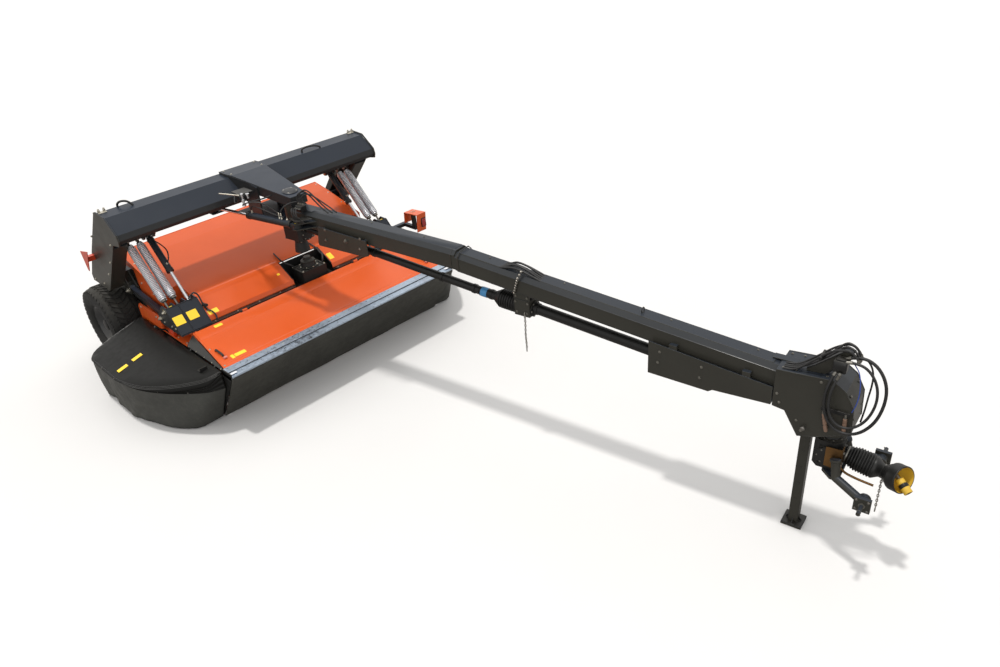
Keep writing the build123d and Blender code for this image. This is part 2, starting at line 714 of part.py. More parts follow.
def guard(sign):
    cavity = guard_cavity(sign)
    with BuildPart() as piece:
        for inset in (0, 10):
            mode = Mode.SUBTRACT if inset else Mode.ADD
            with BuildSketch(Plane.XY.offset(HEM_Z - inset / 10)) as hem:
                with BuildLine():
                    Polyline(*[(sign * a, b) for a, b, c, d in GUARD], close=True)
                make_face()
                if inset:
                    offset(amount=-inset, kind=Kind.INTERSECTION, mode=Mode.REPLACE)
            with BuildSketch(Plane.XY.offset(RIM_Z)) as rim_line:
                with BuildLine():
                    Polyline(*[(sign * c, d) for a, b, c, d in GUARD], close=True)
                make_face()
                if inset:
                    offset(amount=-inset, kind=Kind.INTERSECTION, mode=Mode.REPLACE)
            loft([hem.sketch.face(), rim_line.sketch.face()], ruled=True, mode=mode)
        # top: rises from the rim to the lid's end
        with BuildSketch(Plane.XY.offset(RIM_Z)) as top_line:
            with BuildLine():
                Polyline(*[(sign * c, d) for a, b, c, d in GUARD], close=True)
            make_face()
        extrude(top_line.sketch, amount=190)
        with BuildSketch(Plane(origin=(0, 1000, 0), x_dir=(1, 0, 0), z_dir=(0, -1, 0))) as off:
            with BuildLine():
                Polyline((sign * 2060, RIM_Z + 6), (sign * 1386, 652), (sign * 1300, 652),
                         (sign * 1300, 900), (sign * 2060, 900), close=True)
            make_face()
        extrude(off.sketch, amount=-2200, mode=Mode.SUBTRACT)
        add(cavity.part, mode=Mode.SUBTRACT)
        # open towards the cutter bar
        with Locations((sign * 1386, 2260, 180)):
            Box(60, 1380, 400, mode=Mode.SUBTRACT)
        # hinges: a notch for each ear, with a knuckle on either side of it
        for y in HINGE_Y:
            with Locations((sign * 1398, y, 630)):
                Box(44, 34, 80, mode=Mode.SUBTRACT)
            for step in (-31, 31):
                with BuildSketch(Plane(origin=(0, y + step - 13, 0), x_dir=(1, 0, 0),
                                       z_dir=(0, -1, 0))) as knuckle:
                    with Locations((sign * GUARD_HINGE[0], GUARD_HINGE[1])):
                        Circle(13)
                extrude(knuckle.sketch, amount=-26)
            with BuildSketch(Plane(origin=(0, y - 60, 0), x_dir=(1, 0, 0), z_dir=(0, -1, 0))) as bore:
                with Locations((sign * GUARD_HINGE[0], GUARD_HINGE[1])):
                    Circle(6.05)
            extrude(bore.sketch, amount=-120, mode=Mode.SUBTRACT)
    return piece


for side, sign in (("right", -1), ("left", 1)):
    write(guard(sign), f"end_guard_{side}")

# ================================================================ drawbar
# the drawbar is drawn straight, on the pivot's axis, and then swung to its place


def bar_section(u, z_top, half_top=60.0, half=95.0, fall=33.0, depth=158.0):
    """The beam's section at a distance u ahead of the pivot."""
    with BuildSketch(Plane(origin=(0, -u, z_top), x_dir=(1, 0, 0), z_dir=(0, -1, 0))) as section:
        with BuildLine():
            Polyline((-half_top, 0), (half_top, 0), (half, -fall), (half, -depth + 8),
                     (half - 8, -depth), (8 - half, -depth), (-half, -depth + 8), (-half, -fall),
                     close=True)
        make_face()
    return section.sketch.face()


U_JOIN = 2120.0
with BuildPart() as drawbar_rear:
    loft([bar_section(60, 1708, depth=172), bar_section(U_JOIN, 1655, depth=172)], ruled=True)
    with BuildSketch(Plane.XY.offset(1526)):
        Circle(92)
    extrude(amount=196)
    with BuildSketch(Plane.XY.offset(1500)):
        Circle(45.05)
    extrude(amount=400, mode=Mode.SUBTRACT)
    # ears for the swing cylinder
    for z in (1566, 1622):
        with BuildSketch(Plane.XY.offset(z)):
            with BuildLine():
                Polyline((-90, -190), (-90, -430), (-215, -330), (-258, -296), (-258, -250),
                         (-230, -226), (-190, -226), close=True)
            make_face()
        extrude(amount=12)
    cyl_between((SWING_BAR_EYE[0], SWING_BAR_EYE[1], 1566), (SWING_BAR_EYE[0], SWING_BAR_EYE[1], 1634), PIN_R)
write(drawbar_rear, "drawbar_rear", SWING)

with BuildPart() as drawbar_side_plate:
    with BuildSketch(Plane(origin=(-138, 0, 0), x_dir=(0, -1, 0), z_dir=(-1, 0, 0))):
        with BuildLine():
            Polyline((480, 1600), (1110, 1570), (1110, 1420), (1060, 1402), (450, 1398),
                     (440, 1420), close=True)
        make_face()
    extrude(amount=-10)
    for u, z in ((520, 1570), (1070, 1552)):
        cyl_between((-95, -u, z), (-128, -u, z), 16)
write(drawbar_side_plate, "drawbar_side_plate", SWING)

with BuildPart() as drawbar_front:
    loft([bar_section(U_JOIN, 1636), bar_section(5050, 1354)], ruled=True)
write(drawbar_front, "drawbar_front", SWING)

# channel under the front half that the drive shaft runs through
with BuildPart() as shaft_channel:
    with BuildSketch(Plane(origin=(-137, 0, 0), x_dir=(0, -1, 0), z_dir=(-1, 0, 0))) as side:
        with BuildLine():
            Polyline((3960, 1330), (4890, 1230), (4890, 1085), (4470, 1062), (4440, 1040),
                     (3960, 1052), close=True)
        make_face()
    extrude(side.sketch, amount=-274)
    # hollow, and open to the beam above
    with BuildSketch(Plane(origin=(-129, 0, 0), x_dir=(0, -1, 0), z_dir=(-1, 0, 0))) as inside:
        with BuildLine():
            Polyline((3940, 1400), (4910, 1400), (4910, 1093), (4470, 1070), (4440, 1048),
                     (3940, 1060), close=True)
        make_face()
    extrude(inside.sketch, amount=-258, mode=Mode.SUBTRACT)
    # packing pieces up to the beam
    for u in (4150, 4700):
        zt = 1636 - (u - U_JOIN) * (1636 - 1354) / (5050 - U_JOIN) - 120
        for sign in (-1, 1):
            with Locations((sign * 112, -u, zt)):
                Box(34, 60, 40)
write(shaft_channel, "shaft_channel", SWING)

# head: two cheeks, a cover plate bent down over the nose, the swivel bearing of
# the hitch, and the jack's socket
with BuildPart() as drawbar_head:
    for x0 in (-137, 125):
        with BuildSketch(side_plane(x0)) as cheek:
            with BuildLine():
                Polyline((-4900, 1381), (-4900, 1085), (-4992, 1071), (-5095, 891),
                         (-5206, 925), (-5428, 1023), (-5418, 1226), (-5357, 1341),
                         (-5265, 1406), close=True)
            make_face()
        extrude(cheek.sketch, amount=12)
    with BuildSketch(side_plane(-125)) as cover:
        with BuildLine():
            Polyline((-4900, 1381), (-5265, 1406), (-5357, 1341), (-5418, 1226),
                     (-5428, 1023), (-5416, 1023), (-5406, 1224), (-5348, 1333),
                     (-5262, 1394), (-4900, 1369.5), close=True)
        make_face()
    extrude(cover.sketch, amount=250)
    with BuildSketch(Plane.XY.offset(1012)) as carrier:
        with Locations((0, -5295)):
            Rectangle(250, 200)
    extrude(carrier.sketch, amount=14)
    with BuildSketch(Plane.XY.offset(925)) as collar:
        with Locations((0, -HITCH_U)):
            Circle(88)
    extrude(collar.sketch, amount=90)
    with BuildSketch(Plane.XY.offset(900)) as bore:
        with Locations((0, -HITCH_U)):
            Circle(60.05)
    extrude(bore.sketch, amount=140, mode=Mode.SUBTRACT)
    # jack socket between the cheeks
    with BuildSketch(Plane.XY.offset(872)) as socket:
        with Locations((0, -JACK_U)):
            Rectangle(92, 92)
    extrude(socket.sketch, amount=288)
    with BuildSketch(Plane.XY.offset(1090)) as tie:
        with Locations((0, -JACK_U)):
            Rectangle(250, 92)
    extrude(tie.sketch, amount=14)
    with BuildSketch(Plane.XY.offset(860)) as way:
        with Locations((0, -JACK_U)):
            Rectangle(71, 71)
    extrude(way.sketch, amount=320, mode=Mode.SUBTRACT)
write(drawbar_head, "drawbar_head", SWING)

# gearboxes that the drive shaft joins: one in the head, one under the pivot
with BuildPart() as drawbar_gearbox:
    with Locations((0, -HITCH_U, 1109)):
        Box(200, 170, 154)
    with BuildSketch(Plane.XY.offset(1350)) as rear_box:
        Rectangle(200, 260)
        chamfer(rear_box.vertices(), 30)
    extrude(rear_box.sketch, amount=140)
    with BuildSketch(Plane.XY.offset(1300)) as outlet:
        Circle(62)
    extrude(outlet.sketch, amount=52)
write(drawbar_gearbox, "drawbar_gearbox", SWING)

# shaft guards: rear and front tubes, bellows, bearing stand
with BuildPart() as shaft_tubes:
    cyl_between((0, -150, 1471.1), (0, -2300, 1285), 37)
    cyl_between((0, -2866, 1258), (0, -4400, 1118), 46)
write(shaft_tubes, "shaft_tubes", SWING)
with BuildPart() as shaft_bellows:
    # cone and drum, turned about the shaft's line: (along, radius)
    along = Plane(origin=(0, -2308, 1284), x_dir=(0, -1, -0.055), z_dir=(1, 0, 0))
    with BuildSketch(along) as cone:
        with BuildLine():
            Polyline((0, 0), (0, 40), (165, 40), (190, 62), (218, 76), (390, 76), (390, 0),
                     close=True)
        make_face()
    revolve(cone.sketch, axis=Axis((0, -2308, 1284), (0, -1, -0.055)))
write(shaft_bellows, "shaft_bellows", SWING)
with BuildPart() as bearing_stand:
    with Locations((0, -2780, 1272)):
        Box(150, 150, 150)
    for x in (-70, 62):
        with BuildSketch(side_plane(x)):
            with BuildLine():
                Polyline((-2700, 1345), (-2860, 1345), (-2860, 1400), (-2700, 1412), close=True)
            make_face()
        extrude(amount=8)
write(bearing_stand, "bearing_stand", SWING)

# hose holder: a flat arm on top of the head that widens to its tip
with BuildPart() as hose_holder:
    with BuildSketch(side_plane(-75)) as holder:
        with BuildLine():
            Polyline((-5080, 1394.2), (-5200, 1402.6), (-5335, 1548), (-5350, 1606),
                     (-5296, 1606), (-5130, 1452), (-5080, 1420), close=True)
        make_face()
    extrude(holder.sketch, amount=50)
write(hose_holder, "hose_holder", SWING)

# hydraulic hoses that hang in loops at the head: x, y, z of the route's points
HOSES = {
    "head_hose_outer": (10.5, [(-92, -5316, 1568), (-96, -5400, 1612), (-104, -5505, 1578),
                               (-116, -5578, 1468), (-138, -5592, 1330), (-160, -5556, 1176),
                               (-176, -5462, 1064), (-180, -5345, 1052), (-178, -5262, 1136),
                               (-174, -5236, 1262), (-168, -5244, 1386), (-132, -5272, 1476)]),
    "head_hose_inner": (9.0, [(-122, -5330, 1560), (-128, -5402, 1578), (-138, -5484, 1536),
                               (-150, -5538, 1440), (-166, -5546, 1322), (-184, -5508, 1196),
                               (-198, -5430, 1116), (-204, -5344, 1118), (-202, -5284, 1186),
                               (-194, -5268, 1290), (-180, -5276, 1388), (-152, -5298, 1462)]),
    "head_hose_thin": (6.0, [(-50, -5358, 1580), (-50, -5404, 1584), (-52, -5452, 1552),
                             (-56, -5482, 1484), (-62, -5486, 1396), (-68, -5478, 1300),
                             (-72, -5474, 1200), (-72, -5462, 1106)]),
}


def hose(radius, route):
    """A hose along straight runs joined by arcs as large as the runs allow."""
    points = [Vector(*p) for p in route]
    arcs = []
    for a, b, c in zip(points, points[1:], points[2:]):
        turn = (b - a).get_angle(c - b)
        arcs.append(0.45 * min((b - a).length, (c - b).length) / tan(radians(turn / 2)))
    with BuildPart() as piece:
        with BuildLine() as path:
            FilletPolyline(*points, radius=arcs)
        with BuildSketch(Plane(origin=points[0], z_dir=points[1] - points[0])):
            Circle(radius)
        sweep(path=path.wire(), transition=Transition.ROUND)
    length = path.wire().length
    print("hose length", round(length), "least radius", round(min(arcs)),
          "volume / (section x length)",
          round(piece.part.volume / (3.14159265 * radius ** 2 * length), 4))
    return piece


for name, (radius, route) in HOSES.items():
    write(hose(radius, route), name, SWING)

# parking jack: square leg with its foot plate, sliding in the head
with BuildPart() as jack_leg:
    with Locations((0, -JACK_U, 470)):
        Box(70, 70, 900)
    with Locations((0, -JACK_U, 10)):
        Box(150, 150, 20)
write(jack_leg, "jack_leg", SWING)

# swing cylinder
ROD_V = Vector(*SWING_ROD_EYE) - Vector(
    SWING_BAR_EYE[0] * cos(radians(SWING_DEG)) - SWING_BAR_EYE[1] * sin(radians(SWING_DEG)),
    PIVOT_Y + SWING_BAR_EYE[0] * sin(radians(SWING_DEG)) + SWING_BAR_EYE[1] * cos(radians(SWING_DEG)),
    SWING_BAR_EYE[2])
CYL_EYE = Vector(*SWING_ROD_EYE) - ROD_V
CYL_LEN = ROD_V.length
CYL_TURN = degrees(atan2(ROD_V.Y, ROD_V.X))
AT_CYL = Location((CYL_EYE.X, CYL_EYE.Y, CYL_EYE.Z), (0, 0, 1), CYL_TURN)
with BuildPart() as swing_barrel:
    cyl_between((80, 0, 0), (700, 0, 0), 36)
    with BuildSketch(Plane.YZ.offset(100)) as bore:
        Circle(28)
    extrude(bore.sketch, amount=700, mode=Mode.SUBTRACT)
    with BuildSketch(Plane.XY.offset(-18)):
        Circle(44)
        with Locations((45, 0)):
            Rectangle(90, 50)
        Circle(PIN_R + 0.05, mode=Mode.SUBTRACT)
    extrude(amount=36)
write(swing_barrel, "swing_cylinder_barrel", AT_CYL)
with BuildPart() as swing_rod:
    cyl_between((420, 0, 0), (CYL_LEN - 44, 0, 0), 17)
    cyl_between((420, 0, 0), (450, 0, 0), 27.95)
    with BuildSketch(Plane.XY.offset(-18)):
        with Locations((CYL_LEN, 0)):
            Circle(60)
            Circle(PIN_R + EYE_GAP, mode=Mode.SUBTRACT)
    extrude(amount=36)
write(swing_rod, "swing_cylinder_rod", AT_CYL)

# ================================================================ hitch head
with BuildPart() as hitch_gearbox:
    with BuildSketch(Plane.XY.offset(655)) as body:
        with Locations((0, -HITCH_U)):
            Rectangle(184, 184)
        chamfer(body.vertices(), 40)
    extrude(body.sketch, amount=228)
    with BuildSketch(Plane.XY.offset(880)) as neck:
        with Locations((0, -HITCH_U)):
            Circle(60)
    extrude(neck.sketch, amount=130)
    cyl_between((0, -HITCH_U - 88, 762), (0, -HITCH_U - 104, 762), 33)
write(hitch_gearbox, "hitch_gearbox", SWING)

LINK_X, LINK_U, LINK_Z = 250.0, 5600.0, 612.0
with BuildPart() as hitch_arms:
    with BuildSketch(Plane.XY.offset(628)) as base:
        with BuildLine():
            Polyline((-90, -5280), (-156, -5350), (-156, -5410), (156, -5410), (156, -5350),
                     (90, -5280), close=True)
        make_face()
    extrude(base.sketch, amount=24)
    for sign in (-1, 1):
        # bent tube from the gearbox's side down to the flange and pin
        bend = (sign * 168, -5392, 668)
        cyl_between((sign * 132, -5366, 792), bend, 30)
        with Locations(bend):
            Sphere(30.2)
        cyl_between(bend, (sign * LINK_X, -LINK_U + 6, LINK_Z), 30)
        cyl_between((sign * 214, -LINK_U, LINK_Z), (sign * 272, -LINK_U, LINK_Z), 36)
        with Locations((sign * 281, -LINK_U, LINK_Z)):
            Box(26, 108, 108)
        cyl_between((sign * (LINK_X + 40), -LINK_U, LINK_Z), (sign * (LINK_X + 140), -LINK_U, LINK_Z), 14.2)
write(hitch_arms, "hitch_arms", SWING)

# drive input: joint guards that stay still, bent at the joint as it hangs, and the
# front joint's yoke inside the cone
PTO_P0, PTO_TILT = (0.0, -(HITCH_U + 116), 760.0), -10.3
PTO_DIR = Vector(0, -cos(radians(PTO_TILT)), sin(radians(PTO_TILT)))
PTO_NECK = Vector(*PTO_P0) + PTO_DIR * 262
CONE_DIR = Vector(-0.490, -0.837, 0.244).normalized()
YOKE_DIR = Vector(-0.504, -0.743, -0.4355).normalized()
YOKE_AT = PTO_NECK + CONE_DIR * 100


def along_line(point, way):
    """A place whose Z runs along a direction, with X level."""
    level = Vector(0, 0, 1).cross(way).normalized()
    return Location(Plane(origin=point, x_dir=level, z_dir=way))


with BuildPart() as bellows_part:
    with BuildSketch(Plane.XZ) as bellows:
        with BuildLine():
            Polyline((60, -8), (60, 8), (84, 56), (84, 186), (50, 236), (50, 258),
                     (42, 258), (42, 232), (76, 182), (76, 60), (54, 16), (36, 16), (36, -8),
                     close=True)
        make_face()
    revolve(bellows.sketch, axis=Axis.Z)
with BuildPart() as cone_part:
    with BuildSketch(Plane.XZ) as cone:
        with BuildLine():
            Polyline((0, -6), (52, -6), (52, 4), (95, 78), (95, 148), (87, 148), (87, 82), (46, 12),
                     (46, 6), (0, 6), close=True)
        make_face()
    revolve(cone.sketch, axis=Axis.Z)
with BuildPart() as pto_guards:
    add(bellows_part.part.moved(along_line(Vector(*PTO_P0), PTO_DIR)))
    add(cone_part.part.moved(along_line(PTO_NECK, CONE_DIR)))
    # cross of the joint that holds the yoke
    cyl_between(tuple(PTO_NECK), tuple(PTO_NECK + CONE_DIR * 62), 20)
write(pto_guards, "pto_guards", SWING)

with BuildPart() as pto_shaft:
    cyl_between((0, 0, -26), (0, 0, 12), 15)
    with BuildSketch(Plane.XY.offset(12)) as yoke:
        Circle(26)
    extrude(yoke.sketch, amount=108)
    with BuildSketch(Plane.XY.offset(38)) as bore:
        Circle(17.45)
    extrude(bore.sketch, amount=100, mode=Mode.SUBTRACT)
write(pto_shaft, "pto_shaft", SWING * along_line(YOKE_AT, YOKE_DIR))
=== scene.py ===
import math
import random
import bmesh
import bpy
from mathutils import Matrix, Vector


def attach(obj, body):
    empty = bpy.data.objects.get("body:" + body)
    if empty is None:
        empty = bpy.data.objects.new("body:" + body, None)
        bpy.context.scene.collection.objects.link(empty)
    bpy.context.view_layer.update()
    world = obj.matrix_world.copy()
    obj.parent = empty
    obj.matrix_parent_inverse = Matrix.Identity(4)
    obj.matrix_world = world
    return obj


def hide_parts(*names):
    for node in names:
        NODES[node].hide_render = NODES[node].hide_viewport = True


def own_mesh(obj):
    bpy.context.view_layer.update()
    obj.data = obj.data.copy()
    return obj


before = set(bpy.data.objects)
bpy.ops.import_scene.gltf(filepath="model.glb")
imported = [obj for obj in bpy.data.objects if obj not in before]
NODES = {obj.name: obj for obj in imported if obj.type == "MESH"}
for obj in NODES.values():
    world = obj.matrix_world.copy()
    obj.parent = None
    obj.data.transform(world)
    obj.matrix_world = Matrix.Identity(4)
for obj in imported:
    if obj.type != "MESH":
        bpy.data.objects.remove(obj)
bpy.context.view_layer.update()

random.seed(7)
scene = bpy.context.scene

# ------------------------------------------------------------------ frame of the machine
CENTRE_Y = 0.0057
PIVOT = Vector((0, 1.8 + CENTRE_Y, 0))
SWING = math.radians(8.7)


def bar(u, v, z):
    """A point on the swung drawbar: u ahead of the pivot, v to +X, z up, in metres."""
    return Vector((v * math.cos(SWING) + u * math.sin(SWING),
                   PIVOT.y + v * math.sin(SWING) - u * math.cos(SWING), z))


BAR = Matrix.Translation(PIVOT) @ Matrix.Rotation(SWING, 4, "Z")


def row(x, y, z):
    """A point given as part.py gives it (metres), moved to the row frame."""
    return Vector((x, y + CENTRE_Y, z))


# ------------------------------------------------------------------ materials
def lin(r, g, b):
    def f(c):
        c /= 255
        return c / 12.92 if c <= 0.04045 else ((c + 0.055) / 1.055) ** 2.4
    return (f(r), f(g), f(b), 1)


def tint(c, k):
    return (min(1, c[0] * k), min(1, c[1] * k), min(1, c[2] * k), 1)


class Mat:
    """A small builder of node materials."""

    def __init__(self, name, rough=0.5, metal=0.0, coat=0.0, sheen=0.0, spec=0.5):
        self.m = bpy.data.materials.new(name)
        self.m.use_nodes = True
        self.t = self.m.node_tree
        self.n = self.t.nodes
        self.b = self.n["Principled BSDF"]
        self.b.inputs["Roughness"].default_value = rough
        self.b.inputs["Metallic"].default_value = metal
        self.b.inputs["Coat Weight"].default_value = coat
        self.b.inputs["Coat Roughness"].default_value = 0.12
        self.b.inputs["Sheen Weight"].default_value = sheen
        self.b.inputs["Specular IOR Level"].default_value = spec
        self.co = self.new("ShaderNodeTexCoord").outputs["Object"]
        self.bump_in = None

    def new(self, kind, **values):
        node = self.n.new(kind)
        for k, v in values.items():
            setattr(node, k, v)
        return node

    def link(self, a, b):
        self.t.links.new(a, b)

    def noise(self, scale, detail=3.0, rough=0.55, stretch=None):
        node = self.new("ShaderNodeTexNoise")
        node.inputs["Scale"].default_value = scale
        node.inputs["Detail"].default_value = detail
        node.inputs["Roughness"].default_value = rough
        src = self.co
        if stretch:
            mp = self.new("ShaderNodeMapping")
            mp.inputs["Scale"].default_value = stretch
            self.link(self.co, mp.inputs["Vector"])
            src = mp.outputs["Vector"]
        self.link(src, node.inputs["Vector"])
        return node.outputs["Fac"]

    def span(self, fac, lo, hi, a=0.35, b=0.65):
        node = self.new("ShaderNodeMapRange")
        node.inputs["From Min"].default_value = a
        node.inputs["From Max"].default_value = b
        node.inputs["To Min"].default_value = lo
        node.inputs["To Max"].default_value = hi
        self.link(fac, node.inputs["Value"])
        return node.outputs["Result"]

    def mix(self, fac, a, b, blend="MIX"):
        node = self.new("ShaderNodeMix", data_type="RGBA", blend_type=blend)
        for sock, value in ((node.inputs[6], a), (node.inputs[7], b)):
            if isinstance(value, tuple):
                sock.default_value = value
            else:
                self.link(value, sock)
        if isinstance(fac, (int, float)):
            node.inputs[0].default_value = fac
        else:
            self.link(fac, node.inputs[0])
        return node.outputs[2]

    def math(self, op, a, b=None):
        node = self.new("ShaderNodeMath", operation=op)
        for i, value in enumerate((a, b)):
            if value is None:
                continue
            if isinstance(value, (int, float)):
                node.inputs[i].default_value = value
            else:
                self.link(value, node.inputs[i])
        return node.outputs[0]

    def colour(self, out):
        self.link(out, self.b.inputs["Base Color"])

    def rough(self, out):
        self.link(out, self.b.inputs["Roughness"])

    def bump(self, height, strength=0.2, distance=0.002):
        node = self.new("ShaderNodeBump")
        node.inputs["Strength"].default_value = strength
        node.inputs["Distance"].default_value = distance
        self.link(height, node.inputs["Height"])
        if self.bump_in is not None:
            self.link(self.bump_in, node.inputs["Normal"])
        self.bump_in = node.outputs["Normal"]
        self.link(self.bump_in, self.b.inputs["Normal"])

    def soft_edges(self, radius, samples=4):
        """Rounds the shading of sharp edges, as rolled and folded steel has them."""
        node = self.new("ShaderNodeBevel")
        node.samples = samples
        node.inputs["Radius"].default_value = radius
        self.bump_in = node.outputs["Normal"]
        self.link(self.bump_in, self.b.inputs["Normal"])
        return node

    def edge_mask(self, radius=0.004):
        """1 along the edges, 0 on the flats."""
        node = self.new("ShaderNodeBevel")
        node.samples = 4
        node.inputs["Radius"].default_value = radius
        geo = self.new("ShaderNodeNewGeometry")
        dot = self.new("ShaderNodeVectorMath", operation="DOT_PRODUCT")
        self.link(node.outputs["Normal"], dot.inputs[0])
        self.link(geo.outputs["Normal"], dot.inputs[1])
        return self.span(dot.outputs["Value"], 1.0, 0.0, 0.86, 0.99)

    def up_mask(self, lo=0.35, hi=0.95):
        """1 on faces that look up, which turn dusty and which take the painted sky light."""
        geo = self.new("ShaderNodeNewGeometry")
        sep = self.new("ShaderNodeSeparateXYZ")
        self.link(geo.outputs["Normal"], sep.inputs[0])
        return self.span(sep.outputs["Z"], 0.0, 1.0, lo, hi)


def paint(name, base, rough=0.36, coat=0.25, vary=0.10, edge=None, dust_and_sky_light=None, dust_and_sky_light_amount=0.25,
          radius=0.004, peel=0.05, speck=0.3, fine=0.16, spec=0.5):
    m = Mat(name, rough=rough, coat=coat, spec=spec)
    big = m.noise(2.2, 4)
    col = m.mix(m.span(big, 0, 1), tint(base, 1 - vary), tint(base, 1 + vary))
    col = m.mix(m.math("MULTIPLY", m.span(m.noise(38, 5), 0, 1, 0.45, 0.8), fine), col,
                tint(base, 0.82))
    # up-facing faces take a second colour: a dusty film on some paints, a painted sky-light tint on the tops of others
    if dust_and_sky_light:
        fac = m.math("MULTIPLY", m.up_mask(), m.span(m.noise(4, 5, 0.65), speck, 1.0))
        col = m.mix(m.math("MULTIPLY", fac, dust_and_sky_light_amount), col, dust_and_sky_light)
    if radius:
        if edge:
            wear = m.math("MULTIPLY", m.edge_mask(radius), m.span(m.noise(30, 4), 0, 1, 0.4, 0.6))
            col = m.mix(m.math("MULTIPLY", wear, 0.4), col, edge)
        m.soft_edges(radius)
    m.colour(col)
    m.rough(m.span(m.noise(5, 3), rough - 0.02, rough + 0.04))
    m.bump(m.noise(120, 2), peel, 0.0003)
    return m.m


def metal(name, base, rough=0.3, vary=0.15, stain=None, stain_amount=0.3, radius=0.002, bump=0.08):
    m = Mat(name, rough=rough, metal=1.0)
    col = m.mix(m.span(m.noise(12, 5), 0, 1), tint(base, 1 - vary), tint(base, 1 + vary))
    if stain:
        col = m.mix(m.math("MULTIPLY", m.span(m.noise(6, 6, 0.7), 0, 1, 0.45, 0.7), stain_amount),
                    col, stain)
    if radius:
        m.soft_edges(radius)
    m.colour(col)
    m.rough(m.span(m.noise(35, 4), max(0.05, rough - 0.08), rough + 0.15))
    if bump:
        m.bump(m.noise(420, 2), bump, 0.0004)
    return m.m


def plastic(name, base, rough=0.45, grain=220, bump=0.12, vary=0.08, dust_and_sky_light=None, dust_and_sky_light_amount=0.15,
            coat=0.0, radius=0.003, spec=0.5):
    m = Mat(name, rough=rough, coat=coat, spec=spec)
    col = m.mix(m.span(m.noise(5, 4), 0, 1), tint(base, 1 - vary), tint(base, 1 + vary))
    if dust_and_sky_light:
        fac = m.math("MULTIPLY", m.up_mask(), m.span(m.noise(7, 6, 0.7), 0.2, 1.0))
        col = m.mix(m.math("MULTIPLY", fac, dust_and_sky_light_amount), col, dust_and_sky_light)
    if radius:
        m.soft_edges(radius)
    m.colour(col)
    m.rough(m.span(m.noise(18, 4), rough - 0.06, rough + 0.1))
    m.bump(m.noise(grain, 3), bump, 0.0008)
    return m.m


def cloth(name, base, rough=0.62):
    """Rubberised curtain cloth: fine weave under a satin skin, a little dusty."""
    m = Mat(name, rough=rough, spec=0.3)
    col = m.mix(m.span(m.noise(3.2, 5), 0, 1), tint(base, 0.88), tint(base, 1.12))
    col = m.mix(m.math("MULTIPLY", m.span(m.noise(24, 6, 0.7), 0, 1, 0.5, 0.8), 0.18),
                col, lin(120, 118, 108))
    m.colour(col)
    m.rough(m.span(m.noise(9, 4), rough - 0.1, rough + 0.12))
    waves = []
    for turn in (0.0, math.pi / 2):
        mp = m.new("ShaderNodeMapping")
        mp.inputs["Rotation"].default_value = (0, turn, turn)
        m.link(m.co, mp.inputs["Vector"])
        w = m.new("ShaderNodeTexWave")
        w.inputs["Scale"].default_value = 190
        w.inputs["Distortion"].default_value = 0.4
        m.link(mp.outputs["Vector"], w.inputs["Vector"])
        waves.append(w.outputs["Fac"])
    m.bump(m.math("MAXIMUM", waves[0], waves[1]), 0.10, 0.0006)
    m.bump(m.noise(7, 3), 0.12, 0.008)
    return m.m


DUST = lin(148, 140, 122)
# frame and bar paint: the bluish tint on their up-facing faces is painted sky light on the tops, not dust
FRAME = paint("frame_paint", lin(40, 41, 42), rough=0.34, coat=0.03, vary=0.05, edge=lin(84, 86, 88),
              dust_and_sky_light=lin(33, 43, 58), dust_and_sky_light_amount=0.7, speck=0.9, spec=0.2)
DARK = paint("bar_paint", lin(53, 52, 47), rough=0.36, coat=0.03, vary=0.06, edge=lin(84, 84, 82),
             dust_and_sky_light=lin(31, 40, 53), dust_and_sky_light_amount=0.7, speck=0.9, spec=0.2)
# orange paint: the paler orange on its up-facing faces is painted sky light on the tops
ORANGE = paint("orange_paint", lin(200, 82, 32), rough=0.3, coat=0.10, vary=0.025,
               edge=lin(232, 116, 66), dust_and_sky_light=lin(214, 98, 48), dust_and_sky_light_amount=0.2, fine=0.0, spec=0.3)
ORANGE_DARK = paint("orange_paint_dark", lin(196, 58, 20), rough=0.4, coat=0.2, vary=0.08)
BLACK = paint("black_paint", lin(26, 26, 26), rough=0.36, coat=0.05, edge=lin(80, 80, 80),
              dust_and_sky_light=DUST, dust_and_sky_light_amount=0.06, spec=0.3)
MOULD = plastic("moulded_black", lin(30, 30, 29), rough=0.34, grain=330, bump=0.10, coat=0.15,
                dust_and_sky_light=DUST, dust_and_sky_light_amount=0.06)
GUARD = plastic("guard_black", lin(22, 22, 21), rough=0.42, grain=180, bump=0.12, spec=0.3)
CLOTH = cloth("curtain_cloth", lin(66, 66, 62))
SKIRT = cloth("skirt_cloth", lin(66, 67, 64), rough=0.5)
CHROME = metal("chrome", lin(215, 215, 218), rough=0.12, vary=0.05)
SPRING = metal("spring_steel", lin(216, 218, 223), rough=0.30, vary=0.03, radius=0, bump=0.0)
SPRING.node_tree.nodes["Principled BSDF"].inputs["Metallic"].default_value = 0.85
STEEL = metal("worn_steel", lin(120, 118, 114), rough=0.42, stain=lin(92, 70, 52), stain_amount=0.5)
ZINC = metal("zinc_bolts", lin(196, 192, 180), rough=0.32, stain=lin(130, 120, 96), stain_amount=0.3,
             radius=0)
YZINC = metal("yellow_zinc", lin(120, 90, 56), rough=0.45, stain=lin(70, 58, 44), stain_amount=0.7)
CAST = paint("cast_black", lin(26, 26, 25), rough=0.5, coat=0.0, peel=0.3, vary=0.15,
             dust_and_sky_light=DUST, dust_and_sky_light_amount=0.08, spec=0.3)
BOLT = metal("dark_bolts", lin(128, 126, 120), rough=0.36, vary=0.2, stain=lin(80, 74, 64),
             stain_amount=0.5, radius=0)
ALU = metal("strip_aluminium", lin(176, 190, 206), rough=0.34, vary=0.06, radius=0.001)
TYRE = plastic("tyre_rubber", lin(28, 28, 27), rough=0.72, grain=90, bump=0.2, dust_and_sky_light=DUST,
               dust_and_sky_light_amount=0.08, radius=0, spec=0.3)
